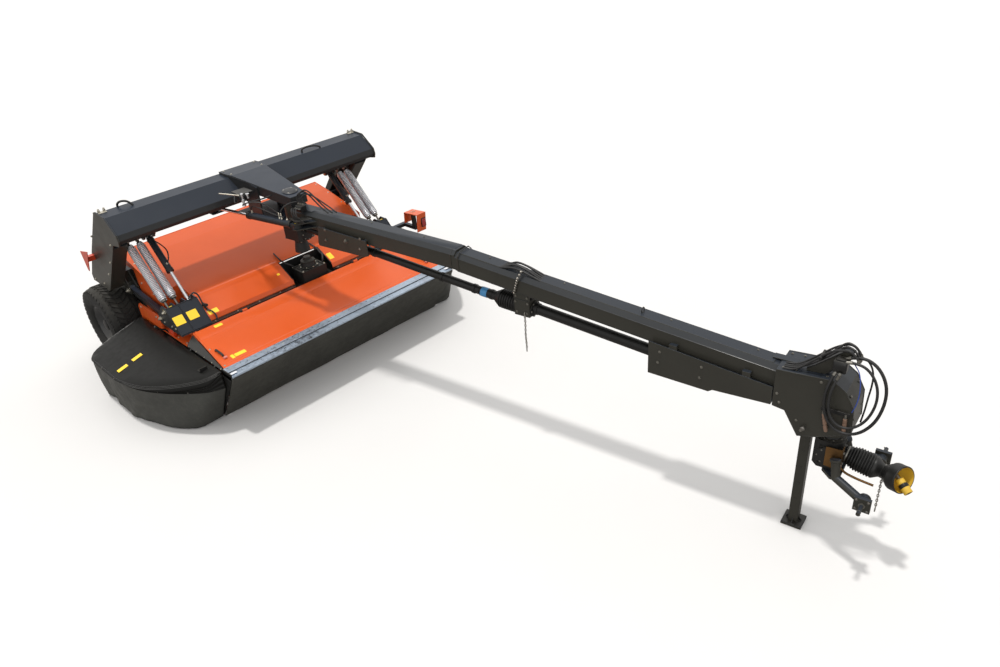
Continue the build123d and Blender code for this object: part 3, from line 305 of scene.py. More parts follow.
RUBBER = plastic("hose_rubber", lin(22, 22, 23), rough=0.5, grain=300, bump=0.15, radius=0)
RIM = paint("rim_dark", lin(44, 45, 46), rough=0.45, coat=0.1, dust_and_sky_light=DUST, dust_and_sky_light_amount=0.2)
YELLOW = paint("yellow_plate", lin(246, 206, 40), rough=0.42, coat=0.2, vary=0.04, radius=0.0006)
BLUE = plastic("blue_band", lin(62, 128, 176), rough=0.4)
TAN = plastic("tan_cap", lin(122, 96, 80), rough=0.5)
LAMP = plastic("lamp_red", lin(150, 20, 18), rough=0.15, coat=0.6, bump=0.02)
WHITE = plastic("reflector_white", lin(214, 216, 220), rough=0.3, coat=0.3, bump=0.05)
PINK = plastic("catch_pin", lin(196, 120, 110), rough=0.45)
SEAM = plastic("seam_dark", lin(30, 26, 24), rough=0.6)
RIM_BOLT = metal("wheel_bolts", lin(110, 112, 114), rough=0.36, stain=lin(90, 80, 66),
                 stain_amount=0.3, radius=0)
CAP = plastic("pivot_cap", lin(34, 36, 40), rough=0.38, grain=240, bump=0.1)
CHAIN = metal("chain_steel", lin(150, 148, 142), rough=0.36, stain=lin(110, 92, 70),
              stain_amount=0.4, radius=0)
BELLOWS = plastic("joint_bellows", lin(24, 24, 23), rough=0.40, grain=160, bump=0.10, spec=0.35)
YELLOW_IN = plastic("joint_yellow", lin(206, 168, 52), rough=0.45, grain=160, bump=0.08)
CABLE = plastic("cable_blue", lin(44, 70, 150), rough=0.45, radius=0)
GLOSS = plastic("guard_gloss_black", lin(26, 26, 25), rough=0.34, grain=18, bump=0.01, vary=0.04,
                spec=0.12, radius=0)
# lighter than the guard's own black: a painted highlight along the rim's ridges
RIDGE_HIGHLIGHT = plastic("guard_rim_ridges_painted_highlight", lin(44, 44, 43), rough=0.22, grain=40, bump=0.02, spec=0.8, radius=0)


def front_dark(name, base, dark, y_at):
    """Orange behind the given line of the machine, black ahead of it."""
    m = Mat(name, rough=0.34, coat=0.1, spec=0.3)
    sep = m.new("ShaderNodeSeparateXYZ")
    m.link(m.co, sep.inputs[0])
    col = m.mix(m.span(m.noise(2.4, 4), 0, 1), tint(base, 0.96), tint(base, 1.04))
    col = m.mix(m.span(sep.outputs["Y"], 1.0, 0.0, y_at - 0.002, y_at + 0.002), col, dark)
    m.soft_edges(0.003)
    m.colour(col)
    m.rough(m.span(m.noise(9, 3), 0.30, 0.42))
    return m.m


GABLE = front_dark("gable_paint", lin(200, 82, 32), lin(24, 24, 23), 1.62)


def give(material, *names):
    for name in names:
        data = NODES[name].data
        if not data.materials:
            data.materials.append(material)
        for i in range(len(data.materials)):
            data.materials[i] = material


give(FRAME, "cross_beam", "pivot_bracket", "beam_hangers", "lower_link_arms",
     "upper_link_arms", "lift_towers", "lift_barrels", "swing_cylinder_barrel")
give(DARK, "frame_legs", "wheel_arms", "drawbar_rear", "drawbar_side_plate", "drawbar_front",
     "shaft_channel", "drawbar_head", "bearing_stand", "hose_holder", "jack_leg",
     "hitch_arms")
give(ORANGE, "rear_hood", "canopy_lid", "hoop_bracket")
give(GABLE, "header_gables", "header_beam")
give(ORANGE_DARK, "marker_boards")
give(BLACK, "middle_panel", "guard_flanges")
give(GUARD, "shaft_tubes", "shaft_bellows", "pto_guards")
give(MOULD, "end_guard_right", "end_guard_left")
give(CLOTH, "front_curtain")
give(ALU, "lid_strip")
give(CHROME, "lift_rods", "swing_cylinder_rod")
give(SPRING, "spring_tops")
give(RUBBER, "head_hose_outer", "head_hose_inner", "head_hose_thin")
give(STEEL, "spring_hooks", "cutter_bar", "conditioner_rotor", "pto_shaft",
     *[f"cutting_disc_{i}" for i in range(1, 9)])
give(CAST, "drawbar_gearbox", "header_gearbox", "hitch_gearbox")
give(TYRE, "tyre_right", "tyre_left")
give(RIM, "rim_right", "rim_left")

# ------------------------------------------------------------------ mesh helpers
def frame_at(p, d, hint=Vector((0, 0, 1))):
    """A frame at p whose Z runs along d."""
    z = Vector(d).normalized()
    if abs(z.dot(hint)) > 0.95:
        hint = Vector((0, 1, 0)) if abs(z.y) < 0.9 else Vector((1, 0, 0))
    x = hint.cross(z).normalized()
    y = z.cross(x)
    return Matrix(((x.x, y.x, z.x, p[0]), (x.y, y.y, z.y, p[1]), (x.z, y.z, z.z, p[2]),
                   (0, 0, 0, 1)))


def smooth_line(points, k=6):
    """Points along a Catmull-Rom curve through the given ones."""
    pts = [Vector(p) for p in points]
    ext = [pts[0] * 2 - pts[1]] + pts + [pts[-1] * 2 - pts[-2]]
    out = []
    for i in range(1, len(ext) - 2):
        a, b, c, d = ext[i - 1:i + 3]
        for j in range(k):
            t = j / k
            out.append(0.5 * ((2 * b) + (c - a) * t + (2 * a - 5 * b + 4 * c - d) * t * t
                              + (3 * b - a - 3 * c + d) * t ** 3))
    out.append(pts[-1])
    return out


class Kit:
    """Gathers many small parts that ride on one body into one mesh."""

    def __init__(self, name, body, *materials, place=None):
        self.name, self.body, self.materials = name, body, materials
        self.bm = bmesh.new()
        self.place = place if place is not None else Matrix.Translation((0, CENTRE_Y, 0))
        self.use = 0

    def grid(self, rows, closed=False, caps=False):
        """Faces between rows of points; each row may be closed on itself."""
        made = [[self.bm.verts.new(self.place @ Vector(p)) for p in r_] for r_ in rows]
        n = len(made[0])
        for a, b in zip(made, made[1:]):
            for i in range(n if closed else n - 1):
                j = (i + 1) % n
                f = self.bm.faces.new((a[i], a[j], b[j], b[i]))
                f.material_index = self.use
        if caps:
            for r_ in (made[0][::-1], made[-1]):
                f = self.bm.faces.new(r_)
                f.material_index = self.use
        return made

    def lathe(self, at, profile, n=20, caps=True):
        """Turns (along, radius) pairs about the frame's Z."""
        rows = []
        for t, r_ in profile:
            r_ = max(r_, 0.0004)
            rows.append([at @ Vector((r_ * math.cos(2 * math.pi * i / n),
                                      r_ * math.sin(2 * math.pi * i / n), t)) for i in range(n)])
        self.grid(rows, closed=True, caps=caps)

    def tube(self, points, r_, n=8):
        """A round bar or hose through the points."""
        pts = [Vector(p) for p in points]
        rows, ref = [], None
        for i, p in enumerate(pts):
            d = (pts[min(i + 1, len(pts) - 1)] - pts[max(i - 1, 0)]).normalized()
            if ref is None:
                ref = Vector((0, 0, 1)) if abs(d.z) < 0.9 else Vector((1, 0, 0))
            x = (ref - d * ref.dot(d)).normalized()
            ref = x
            y = d.cross(x)
            rows.append([p + (x * math.cos(2 * math.pi * k / n) + y * math.sin(2 * math.pi * k / n)) * r_
                         for k in range(n)])
        self.grid(rows, closed=True, caps=True)

    def slab(self, at, outline, thick, bevel=0.0015):
        """A plate: an outline in the frame's XY, thick along its Z, with eased edges."""
        cx = sum(p[0] for p in outline) / len(outline)
        cy = sum(p[1] for p in outline) / len(outline)

        def inset(d):
            res = []
            for x, y in outline:
                ln = math.hypot(x - cx, y - cy) or 1
                k = max(0.0, 1 - d / ln)
                res.append((cx + (x - cx) * k, cy + (y - cy) * k))
            return res
        b = min(bevel, thick / 2.5)
        rows = []
        for z, d in ((0, b), (b, 0), (thick - b, 0), (thick, b)):
            rows.append([at @ Vector((x, y, z)) for x, y in inset(d)])
        self.grid(rows, closed=True, caps=True)

    def box(self, centre, size, bevel=0.003, turn=None):
        sx, sy, sz = size[0] / 2, size[1] / 2, size[2] / 2
        at = Matrix.Translation(centre) @ (turn if turn is not None else Matrix.Identity(4))
        at = at @ Matrix.Translation((0, 0, -sz))
        b = bevel
        outline = [(-sx + b, -sy), (sx - b, -sy), (sx, -sy + b), (sx, sy - b), (sx - b, sy),
                   (-sx + b, sy), (-sx, sy - b), (-sx, -sy + b)]
        self.slab(at, outline, size[2], bevel)

    def bolt(self, p, d, r_=0.011, nut=False):
        """A washer and a hexagon head."""
        at = frame_at(p, d)
        self.lathe(at, [(0, r_ * 1.25), (r_ * 0.22, r_ * 1.25), (r_ * 0.26, r_ * 1.1)], 14)
        rows = []
        h = r_ * 0.75
        for z, k in ((r_ * 0.22, 1.0), (h, 1.0), (h * 1.18, 0.86)):
            rows.append([at @ Vector((r_ * k * math.cos(math.pi * i / 3),
                                      r_ * k * math.sin(math.pi * i / 3), z)) for i in range(6)])
        self.grid(rows, closed=True, caps=True)
        if nut:
            self.lathe(at, [(h, r_ * 0.5), (h * 1.9, r_ * 0.5), (h * 2.0, r_ * 0.42)], 10)

    def quad_plate(self, corners, lift=0.0012, thick=0.0012, round_=0.006):
        """A thin plate over four given points, with rounded corners."""
        c = [Vector(p) for p in corners]
        nrm = (c[1] - c[0]).cross(c[3] - c[0]).normalized()
        if nrm.z < -0.2 or (abs(nrm.z) <= 0.2 and nrm.y > 0):
            nrm = -nrm
        top, mid = [], []
        for i in range(4):
            a, b, d = c[i - 1], c[i], c[(i + 1) % 4]
            ra = min(round_, (a - b).length * 0.3)
            rd = min(round_, (d - b).length * 0.3)
            pa, pd = b + (a - b).normalized() * ra, b + (d - b).normalized() * rd
            for t in (0, 0.5, 1):
                q = pa * (1 - t) ** 2 + b * 2 * t * (1 - t) + pd * t * t
                mid.append(q)
        low = [q + nrm * (lift - thick) for q in mid]
        top = [q + nrm * lift for q in mid]
        self.grid([low, top], closed=True)
        f = self.bm.faces.new([self.bm.verts.new(self.place @ q) for q in top])
        f.material_index = self.use

    def done(self, angle=38, smooth=True):
        bmesh.ops.recalc_face_normals(self.bm, faces=self.bm.faces)
        mesh = bpy.data.meshes.new(self.name)
        self.bm.to_mesh(mesh)
        self.bm.free()
        for m in self.materials:
            mesh.materials.append(m)
        if smooth:
            mesh.shade_smooth()
            mesh.set_sharp_from_angle(angle=math.radians(angle))
        o = bpy.data.objects.new(self.name, mesh)
        bpy.context.scene.collection.objects.link(o)
        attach(o, self.body)
        return o


IDENT = Matrix.Identity(4)

# ------------------------------------------------------------------ springs
S_TOP, S_LOW = Vector((0, 2.820, 1.520)), Vector((0, 2.250, 0.930))
S_DIR = (S_LOW - S_TOP).normalized()
S_LEN = (S_LOW - S_TOP).length
SPRING_X = (1.320, 1.222)
coils = Kit("spring_helix", "lift_upper", SPRING)
for sign in (-1, 1):
    for x in SPRING_X:
        at = frame_at(S_TOP + Vector((sign * x, 0, 0)), S_DIR)
        turns, per, r_mean, wire = 38, 22, 0.0365, 0.0072
        t0, t1 = 0.062, 0.702
        rows = []
        for i in range(turns * per + 1):
            a = 2 * math.pi * i / per
            t = t0 + (t1 - t0) * i / (turns * per)
            taper = min(1.0, 0.72 + 0.28 * min(i, turns * per - i) / (per * 2.0))
            c = Vector((math.cos(a), math.sin(a), 0))
            rows.append([at @ (c * (r_mean * taper + wire * math.cos(2 * math.pi * k / 8))
                               + Vector((0, 0, t + wire * math.sin(2 * math.pi * k / 8))))
                         for k in range(8)])
        coils.grid(rows, closed=True, caps=True)
coil_piece = coils.done(angle=80)
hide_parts("spring_tops", "spring_hooks")
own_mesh(coil_piece)


def hook(kit, at, t_from, t_to, r_=0.027):
    """The threaded plug in a coil's end."""
    lo, hi = min(t_from, t_to), max(t_from, t_to)
    kit.lathe(at @ Matrix.Translation((0, 0, lo)),
              [(0, r_ * 0.6), (0.004, r_), (hi - lo - 0.004, r_), (hi - lo, r_ * 0.6)], 20)


for name, body, centre, plug, stem in (
        ("spring_top_hooks", "lift_upper", S_TOP, (0.044, 0.076), (0.02, 0.05)),
        ("spring_low_hooks", "lift_lower", S_LOW, (-0.132, -0.10), (-0.11, -0.02))):
    hooks = Kit(name, body, STEEL, ZINC)
    for sign in (-1, 1):
        for x in SPRING_X:
            at = frame_at(centre + Vector((sign * x, 0, 0)), S_DIR)
            hook(hooks, at, *plug)
            hooks.lathe(at @ Matrix.Translation((0, 0, stem[0])),
                        [(0, 0.011), (stem[1] - stem[0], 0.011)], 14)
            ring = frame_at(centre + Vector((sign * x - 0.011, 0, 0)), (1, 0, 0))
            bore = 0.0145 if body == "lift_upper" else 0.028
            hooks.lathe(ring, [(0, bore), (0, 0.034), (0.004, 0.038), (0.018, 0.038),
                               (0.022, 0.034), (0.022, bore)], 24, caps=False)
    hooks.done()

# lift cylinders: gland, collar at the top end, oil fitting and its hose
lift = Kit("lift_cylinder_fittings", "lift_upper", BLACK, ZINC, RUBBER)
for sign in (-1, 1):
    at = frame_at(S_TOP + Vector((sign * 1.107, 0, 0)), S_DIR)
    lift.use = 0
    lift.lathe(at @ Matrix.Translation((0, 0, 0.415)),
               [(0, 0.0345), (0.004, 0.0385), (0.034, 0.0385), (0.038, 0.034), (0.038, 0.018)], 24)
    lift.lathe(at @ Matrix.Translation((0, 0, 0.055)),
               [(0, 0.0345), (0.003, 0.037), (0.02, 0.037), (0.023, 0.0345)], 24)
    side = -sign
    p = at @ Vector((0, 0, 0.372))
    up_ = Vector((0, -S_DIR.z, S_DIR.y)) * -1
    if up_.z < 0:
        up_ = -up_
    lift.use = 1
    lift.lathe(frame_at(p + up_ * 0.030, up_), [(0, 0.012), (0.018, 0.012), (0.02, 0.009), (0.03, 0.009)], 12)
    lift.use = 2
    q = p + up_ * 0.058
    lift.tube(smooth_line([q, q + Vector((side * 0.02, -0.01, 0.045)), q + Vector((side * 0.05, 0.05, 0.10)),
                           q + Vector((side * 0.04, 0.13, 0.145)), q + Vector((0, 0.235, 0.205)),
                           q + Vector((0, 0.315, 0.27))]), 0.0065, 8)
lift.done()

# ------------------------------------------------------------------ beam and legs
beam = Kit("beam_fittings", "main_frame", BLACK, ZINC, RUBBER, FRAME, YELLOW)
beam.use = 0
for sign in (-1, 1):
    # hose arc on the beam's top, and the clamp box at its end
    x = sign * 1.245 if sign < 0 else 0.83
    beam.use = 2
    if sign < 0:
        beam.tube(smooth_line([(-1.30, 2.80, 1.885), (-1.296, 2.79, 1.92), (-1.27, 2.77, 1.940),
                               (-1.225, 2.745, 1.934), (-1.19, 2.72, 1.900), (-1.185, 2.715, 1.88)]), 0.011, 10)
    else:
        beam.tube(smooth_line([(0.72, 2.66, 1.88), (0.725, 2.658, 1.915), (0.77, 2.65, 1.93),
                               (0.86, 2.64, 1.925), (0.93, 2.63, 1.90), (0.94, 2.63, 1.876)]), 0.010, 10)
    beam.use = 0
    beam.use = 1
    beam.box((sign * 1.462, 2.772, 1.893), (0.085, 0.055, 0.010))
    for dx in (-0.026, 0.026):
        beam.lathe(frame_at((sign * 1.462 + dx, 2.772, 1.898), (0, 0, 1)),
                   [(0, 0.017), (0.004, 0.017), (0.005, 0.013), (0.022, 0.013), (0.024, 0.009), (0.034, 0.009)], 12)
    # bolts on the hangers and the leg plates
    for a in (1.362, 1.158, 1.056):
        for y, z in ((2.80, 1.59), (2.845, 1.59)):
            beam.bolt((sign * a + (-0.0105 if sign < 0 else 0.0105), y, z), (sign, 0, 0), 0.008)
    for y, z in ((2.66, 1.60), (2.86, 1.36), (3.04, 1.18), (3.30, 1.0), (3.56, 0.975)):
        beam.bolt((sign * 1.520, y, z), (sign, 0, 0), 0.010)
    # nuts on the pins of the springs, the upper and the lower arms
    beam.bolt((sign * 1.3745, 2.820, 1.520), (sign, 0, 0), 0.019, nut=True)
    beam.bolt((sign * 1.044, 2.820, 1.520), (-sign, 0, 0), 0.019)
    beam.bolt((sign * 1.352, 3.180, 0.880), (sign, 0, 0), 0.021, nut=True)
    beam.bolt((sign * 1.268, 3.180, 0.880), (-sign, 0, 0), 0.021)
# weld beads along the beam's ends
beam.use = 3
for sign in (-1, 1):
    pts = [(sign * 1.507, y / 1000, z / 1000) for y, z in
           ((2840, 1880), (2800, 1893), (2620, 1880), (2440, 1745), (2425, 1690))]
    beam.tube(pts, 0.006, 8)
beam.done()

# wheel hub, bolts and valve, riding with each wheel, and the treaded tyre
TYRE_X, WHEEL_Y, WHEEL_R, RIM_R = 1.460, 3.550, 0.440, 0.222
for side_name, sign in (("right", -1), ("left", 1)):
    at = frame_at((sign * TYRE_X, WHEEL_Y, WHEEL_R), (sign, 0, 0))
    half = 0.190
    t = Kit(f"tyre_tread_{side_name}", f"wheel_{side_name}", TYRE)
    prof = [(-0.150, 0.224), (-0.166, 0.240), (-0.178, 0.272), (-0.1865, 0.312), (-0.189, 0.345),
            (-0.185, 0.380), (-0.176, 0.405), (-0.158, 0.421), (-0.136, 0.4275), (-0.07, 0.4305),
            (0, 0.4315), (0.07, 0.4305), (0.136, 0.4275), (0.158, 0.421), (0.176, 0.405),
            (0.185, 0.380), (0.189, 0.345), (0.1865, 0.312), (0.178, 0.272), (0.166, 0.240),
            (0.150, 0.224)]
    t.lathe(at, prof, 72, caps=False)
    lugs = 44
    for i in range(lugs):
        for lane, (x0, x1, skew) in enumerate(((-0.181, -0.104, 0.030), (-0.095, -0.034, -0.022),
                                               (-0.026, 0.026, 0.0), (0.034, 0.095, 0.022),
                                               (0.104, 0.181, -0.030))):
            a0 = 2 * math.pi * (i + 0.5 * (lane % 2)) / lugs
            w = 2 * math.pi / lugs * 0.36
            rows = []
            for x_, s_ in ((x0, -0.5), ((x0 + x1) / 2, 0), (x1, 0.5)):
                fall = 0.0 if abs(x_) < 0.14 else 0.022
                sh = skew * s_ * 2 / WHEEL_R
                r_lo, r_hi = 0.424 - fall, 0.4395 - fall
                if abs(x_) > 0.17:
                    r_lo, r_hi = 0.392, 0.4135
                ring = []
                for rr, da in ((r_lo, -w), (r_hi, -w * 0.86), (r_hi, w * 0.86), (r_lo, w)):
                    a = a0 + sh + da
                    ring.append(at @ Vector((rr * math.cos(a), rr * math.sin(a), x_)))
                rows.append(ring)
            t.grid(rows, closed=True, caps=True)
    tp = t.done(angle=30)
    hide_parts(f"tyre_{side_name}")
    w = Kit(f"wheel_fittings_{side_name}", f"wheel_{side_name}", RIM_BOLT, BLACK, RUBBER)
    for k in range(6):
        a = 2 * math.pi * k / 6
        p = at @ Vector((0.098 * math.cos(a), 0.098 * math.sin(a), 0.0595))
        w.bolt(p, (sign, 0, 0), 0.013, nut=True)
    w.use = 1
    w.lathe(at @ Matrix.Translation((0, 0, 0.112)),
            [(0, 0.062), (0.006, 0.064), (0.024, 0.060), (0.032, 0.046), (0.034, 0.01)], 28)
    w.use = 2
    w.tube([at @ Vector((0.182, 0, 0.092)), at @ Vector((0.172, 0.004, 0.125)),
            at @ Vector((0.168, 0.006, 0.140))], 0.005, 8)
    w.use = 1
    # rolled rim edge
    for zz in (-0.149, 0.149):
        w.lathe(at, [(zz - 0.004, 0.222), (zz - 0.005, 0.229), (zz, 0.232), (zz + 0.005, 0.229),
                     (zz + 0.004, 0.222)], 64, caps=False)
    w.done()
# ------------------------------------------------------------------ header: towers, lid, hood
tower = Kit("tower_fittings", "header", YELLOW, ZINC, BLACK, RUBBER, FRAME)
TF0, TF1 = Vector((0, 1.993, 0.7445)), Vector((0, 2.200, 0.978))


def on_tower(x, s):
    """A point on the tower's leaning front face: x across, s from its foot (0) to its top (1)."""
    q = TF0.lerp(TF1, s)
    return Vector((x, q.y - 0.0015, q.z + 0.0012))


for sign in (-1, 1):
    tower.use = 0
    for a, b, s0, s1 in ((1.366, 1.262, 0.37, 0.68), (1.222, 1.118, 0.38, 0.68)):
        tower.quad_plate([on_tower(sign * a, s0), on_tower(sign * b, s0), on_tower(sign * b, s1),
                          on_tower(sign * a, s1)])
    # folded edge and seam of the two front plates
    tower.use = 4
    for x in (1.239, 1.246):
        tower.tube([on_tower(sign * x, 0.0), on_tower(sign * x, 1.0)], 0.0028, 6)
    for x in (1.372, 1.050):
        tower.tube([on_tower(sign * x, 0.0), on_tower(sign * x, 1.0)], 0.0045, 6)
    tower.tube([on_tower(sign * 1.372, 1.0) + Vector((0, 0.006, 0.002)),
                on_tower(sign * 1.050, 1.0) + Vector((0, 0.006, 0.002))], 0.0055, 8)
    # small marks above the plates, pins and nuts
    tower.use = 0
    tower.quad_plate([(sign * 1.330, 2.2125, 0.9835), (sign * 1.300, 2.2125, 0.9835),
                      (sign * 1.300, 2.222, 0.9838), (sign * 1.330, 2.222, 0.9838)], round_=0.002)
    tower.quad_plate([(sign * 1.372 + sign * 0.0005, 2.26, 0.952), (sign * 1.372 + sign * 0.0005, 2.26, 0.93),
                      (sign * 1.372 + sign * 0.0005, 2.30, 0.93), (sign * 1.372 + sign * 0.0005, 2.30, 0.952)])
    tower.use = 1
    tower.bolt((sign * 1.3725, 2.250, 0.930), (sign, 0, 0), 0.020, nut=True)
    tower.bolt((sign * 1.0495, 2.250, 0.930), (-sign, 0, 0), 0.020, nut=True)
    tower.bolt((sign * 1.3725, 2.410, 0.810), (sign, 0, 0), 0.020, nut=True)
    for y in (2.06, 2.18, 2.33):
        tower.bolt((sign * 1.022, y + 0.02, 0.7446), (0, 0, 1), 0.0085)
    for y, z in ((2.09, 0.80), (2.17, 0.80), (2.34, 0.79)):
        tower.bolt((sign * 1.3722, y, z), (sign, 0, 0), 0.009)
        tower.bolt((sign * 1.0498, y, z), (-sign, 0, 0), 0.009)
    # T-handle on the inner side, and the curved hose down to the header
    tower.use = 2
    tower.tube([(sign * 1.050, 2.19, 0.865), (sign * 1.005, 2.18, 0.885)], 0.010, 10)
    tower.tube([(sign * 1.000, 2.235, 0.872), (sign * 1.006, 2.115, 0.898)], 0.015, 12)
    tower.use = 3
    tower.tube(smooth_line([(sign * 1.085, 2.245, 1.000), (sign * 1.050, 2.235, 1.018),
                            (sign * 1.022, 2.215, 0.985), (sign * 1.020, 2.165, 0.905),
                            (sign * 1.010, 2.115, 0.852), (sign * 0.988, 2.075, 0.835),
                            (sign * 0.975, 2.035, 0.800), (sign * 0.985, 2.010, 0.762)]), 0.008, 10)
    tower.tube(smooth_line([(sign * 1.107, 2.265, 0.965), (sign * 1.100, 2.225, 1.000),
                            (sign * 1.112, 2.195, 0.990), (sign * 1.118, 2.21, 0.962)]), 0.0065, 8)
tower.done()

lid = Kit("lid_fittings", "lid", ORANGE, YELLOW, BLACK, ZINC, PINK, SEAM)
LID_A, LID_B = Vector((0, 1.968, 0.748)), Vector((0, 1.262, 0.655))


def on_lid(x, y, lift=0.0):
    t = (LID_A.y - y) / (LID_A.y - LID_B.y)
    return Vector((x, y, LID_A.z + (LID_B.z - LID_A.z) * t + lift))


def lid_half(y):
    return 1.275 + 0.070 * (LID_A.y - y) / (LID_A.y - LID_B.y)


# the pressed step across the lid's rear third, and the folded ends
rows = []
for y, h in ((1.957, 0.0002), (1.950, 0.0060), (1.828, 0.0075), (1.806, 0.0002)):
    half = lid_half(y) - 0.012
    n = 40
    rows.append([on_lid(-half + 2 * half * i / n, y, h) for i in range(n + 1)])
lid.use = 0
lid.grid(rows)
rows = []
for y, h in ((1.335, 0.0002), (1.322, 0.0035), (1.268, 0.0040), (1.262, 0.0002)):
    half = lid_half(y) - 0.008
    rows.append([on_lid(-half + 2 * half * i / 40, y, h) for i in range(41)])
lid.grid(rows)
for sign in (-1, 1):
    lid.tube([on_lid(sign * (lid_half(y) - 0.004), y, -0.001) for y in (1.962, 1.80, 1.60, 1.40, 1.266)],
             0.006, 8)
lid.use = 1
lid.quad_plate([on_lid(-1.075, 1.932, 0.007), on_lid(-0.99, 1.932, 0.007), on_lid(-0.99, 1.888, 0.007),
                on_lid(-1.075, 1.888, 0.007)])
lid.quad_plate([on_lid(-1.208, 1.405), on_lid(-1.175, 1.405), on_lid(-1.175, 1.345), on_lid(-1.208, 1.345)])
lid.quad_plate([on_lid(-1.168, 1.400), on_lid(-1.055, 1.400), on_lid(-1.055, 1.352), on_lid(-1.168, 1.352)])
lid.quad_plate([on_lid(1.168, 1.400), on_lid(1.055, 1.400), on_lid(1.055, 1.352), on_lid(1.168, 1.352)])
for sign in (-1, 1):
    # rubber catch handle, its pin, and the strip's end caps
    lid.use = 2
    lid.tube(smooth_line([on_lid(sign * 1.262, 1.560, 0.004), on_lid(sign * 1.263, 1.545, 0.020),
                          on_lid(sign * 1.262, 1.500, 0.026), on_lid(sign * 1.258, 1.445, 0.024),
                          on_lid(sign * 1.256, 1.425, 0.012)]), 0.0105, 10)
    lid.use = 4
    lid.tube([on_lid(sign * 1.272, 1.395, 0.012), on_lid(sign * 1.238, 1.395, 0.012)], 0.012, 12)
    lid.use = 3
    lid.bolt(on_lid(sign * 1.318, 1.30, 0.004), (0, -0.13, 1), 0.008)
    lid.bolt(on_lid(sign * 1.290, 1.62, 0.0), (0, -0.13, 1), 0.008)
    lid.use = 2
    lid.box((sign * 1.365, 1.180, 0.648), (0.010, 0.168, 0.030))
# dark channel and the raised ribs of the two-step strip
lid.use = 5
for y, z in ((1.1765, 0.6482), (1.2585, 0.6525)):
    lid.tube([(-1.360, y, z), (1.360, y, z)], 0.0042, 6)
lid.use = 3
for k in range(15):
    x = -1.30 + 2.60 * k / 14
    lid.lathe(frame_at((x, 1.218, 0.6575), (0, -0.06, 1)), [(0, 0.006), (0.0022, 0.0055), (0.0032, 0.003)], 10)
lid.done()

hood = Kit("hood_fittings", "header", ORANGE, YELLOW, ZINC, SEAM, BLACK)
HOOD = [(2.046, 0.756), (2.060, 0.800), (2.300, 0.935), (2.700, 1.050), (3.200, 1.180), (3.430, 1.225)]


def on_hood(x, y, lift=0.0):
    for (ya, za), (yb, zb) in zip(HOOD, HOOD[1:]):
        if ya <= y <= yb:
            return Vector((x, y, za + (zb - za) * (y - ya) / (yb - ya) + lift))
    return Vector((x, y, HOOD[-1][1] + lift))


hood.use = 1
hood.quad_plate([on_hood(-1.022, 2.118), on_hood(-0.915, 2.118), on_hood(-0.915, 2.070), on_hood(-1.022, 2.070)])
hood.quad_plate([on_hood(0.470, 2.182), on_hood(0.530, 2.182), on_hood(0.530, 2.105), on_hood(0.470, 2.105)])
hood.quad_plate([on_hood(-0.160, 2.190), on_hood(-0.128, 2.190), on_hood(-0.128, 2.168), on_hood(-0.160, 2.168)])
hood.use = 0
# pressed ribs over the hood, and its rolled edges
for x0, x1 in ((-1.02, -0.07), (0.47, 1.02)):
    rows = []
    for y, h in ((2.268, 0.0002), (2.283, 0.0045), (2.300, 0.0052), (2.322, 0.0045), (2.338, 0.0002)):
        rows.append([on_hood(x0 + (x1 - x0) * i / 20, y, h) for i in range(21)])
    hood.grid(rows)
for sign in (-1, 1):
    hood.tube([on_hood(sign * 1.043, y, -0.002) for y in (2.064, 2.3, 2.558)], 0.0065, 8)
    hood.tube([on_hood(sign * 1.043, 2.562, -0.002), on_hood(sign * 1.256, 2.562, -0.002)], 0.0055, 8)
    hood.tube([on_hood(sign * 1.256, y, -0.002) for y in (2.562, 2.7, 3.0, 3.2, 3.428)], 0.0060, 8)
hood.tube([on_hood(-1.256, 3.428, -0.004), on_hood(1.256, 3.428, -0.004)], 0.0075, 8)
hood.use = 2
for sign in (-1, 1):
    for y in (2.12, 2.36, 2.60, 2.86, 3.12, 3.36):
        hood.bolt(on_hood(sign * (1.015 if y < 2.56 else 1.228), y, 0.0), (0, -0.3, 1), 0.0075)
    for y, z in ((2.75, 0.93), (3.0, 0.98), (2.98, 0.56), (2.74, 0.54)):
        hood.bolt((sign * 1.2582, y, z), (sign, 0, 0), 0.009)
    for x, z in ((1.085, 0.80), (1.218, 0.80), (1.152, 0.965)):
        hood.bolt((sign * x, 2.5598, z), (0, -1, 0), 0.008)
for k in range(9):
    x = -1.0 + 2.0 * k / 8
    if not -0.09 < x < 0.48:
        hood.bolt((x, 2.018, 0.748), (0, 0, 1), 0.007)
# dark jointing strip where hood and gearbox tray meet
hood.use = 3
for x in (-0.051, 0.451):
    hood.tube([on_hood(x, 2.064, 0.001), on_hood(x, 2.298, 0.001)], 0.005, 6)
hood.tube([on_hood(-0.051, 2.298, 0.001), on_hood(0.451, 2.298, 0.001)], 0.005, 6)
hood.done()

# gearbox in the opening: ribs, flange, cover and filler
gear = Kit("header_gearbox_detail", "header", CAST, ZINC, RUBBER, BLACK)
gear.use = 0
for k in range(5):
    gear.box((0.080 + 0.06 * k, 2.12, 0.857), (0.010, 0.21, 0.012), 0.002)
gear.lathe(frame_at((0.2, 2.12, 0.913), (0, 0, 1)), [(0, 0.076), (0.010, 0.076), (0.012, 0.06), (0.024, 0.045),
                                                     (0.050, 0.040), (0.052, 0.03)], 28)
gear.lathe(frame_at((0.2, 2.12, 0.853), (0, 0, 1)), [(0, 0.105), (0.014, 0.105), (0.016, 0.088)], 32)
gear.use = 1
for k in range(8):
    a = 2 * math.pi * k / 8
    gear.bolt((0.2 + 0.096 * math.cos(a), 2.12 + 0.096 * math.sin(a), 0.8675), (0, 0, 1), 0.0075)
for x in (0.066, 0.334):
    for y in (2.022, 2.218):
        gear.bolt((x, y, 0.855), (0, 0, 1), 0.010)
gear.use = 2
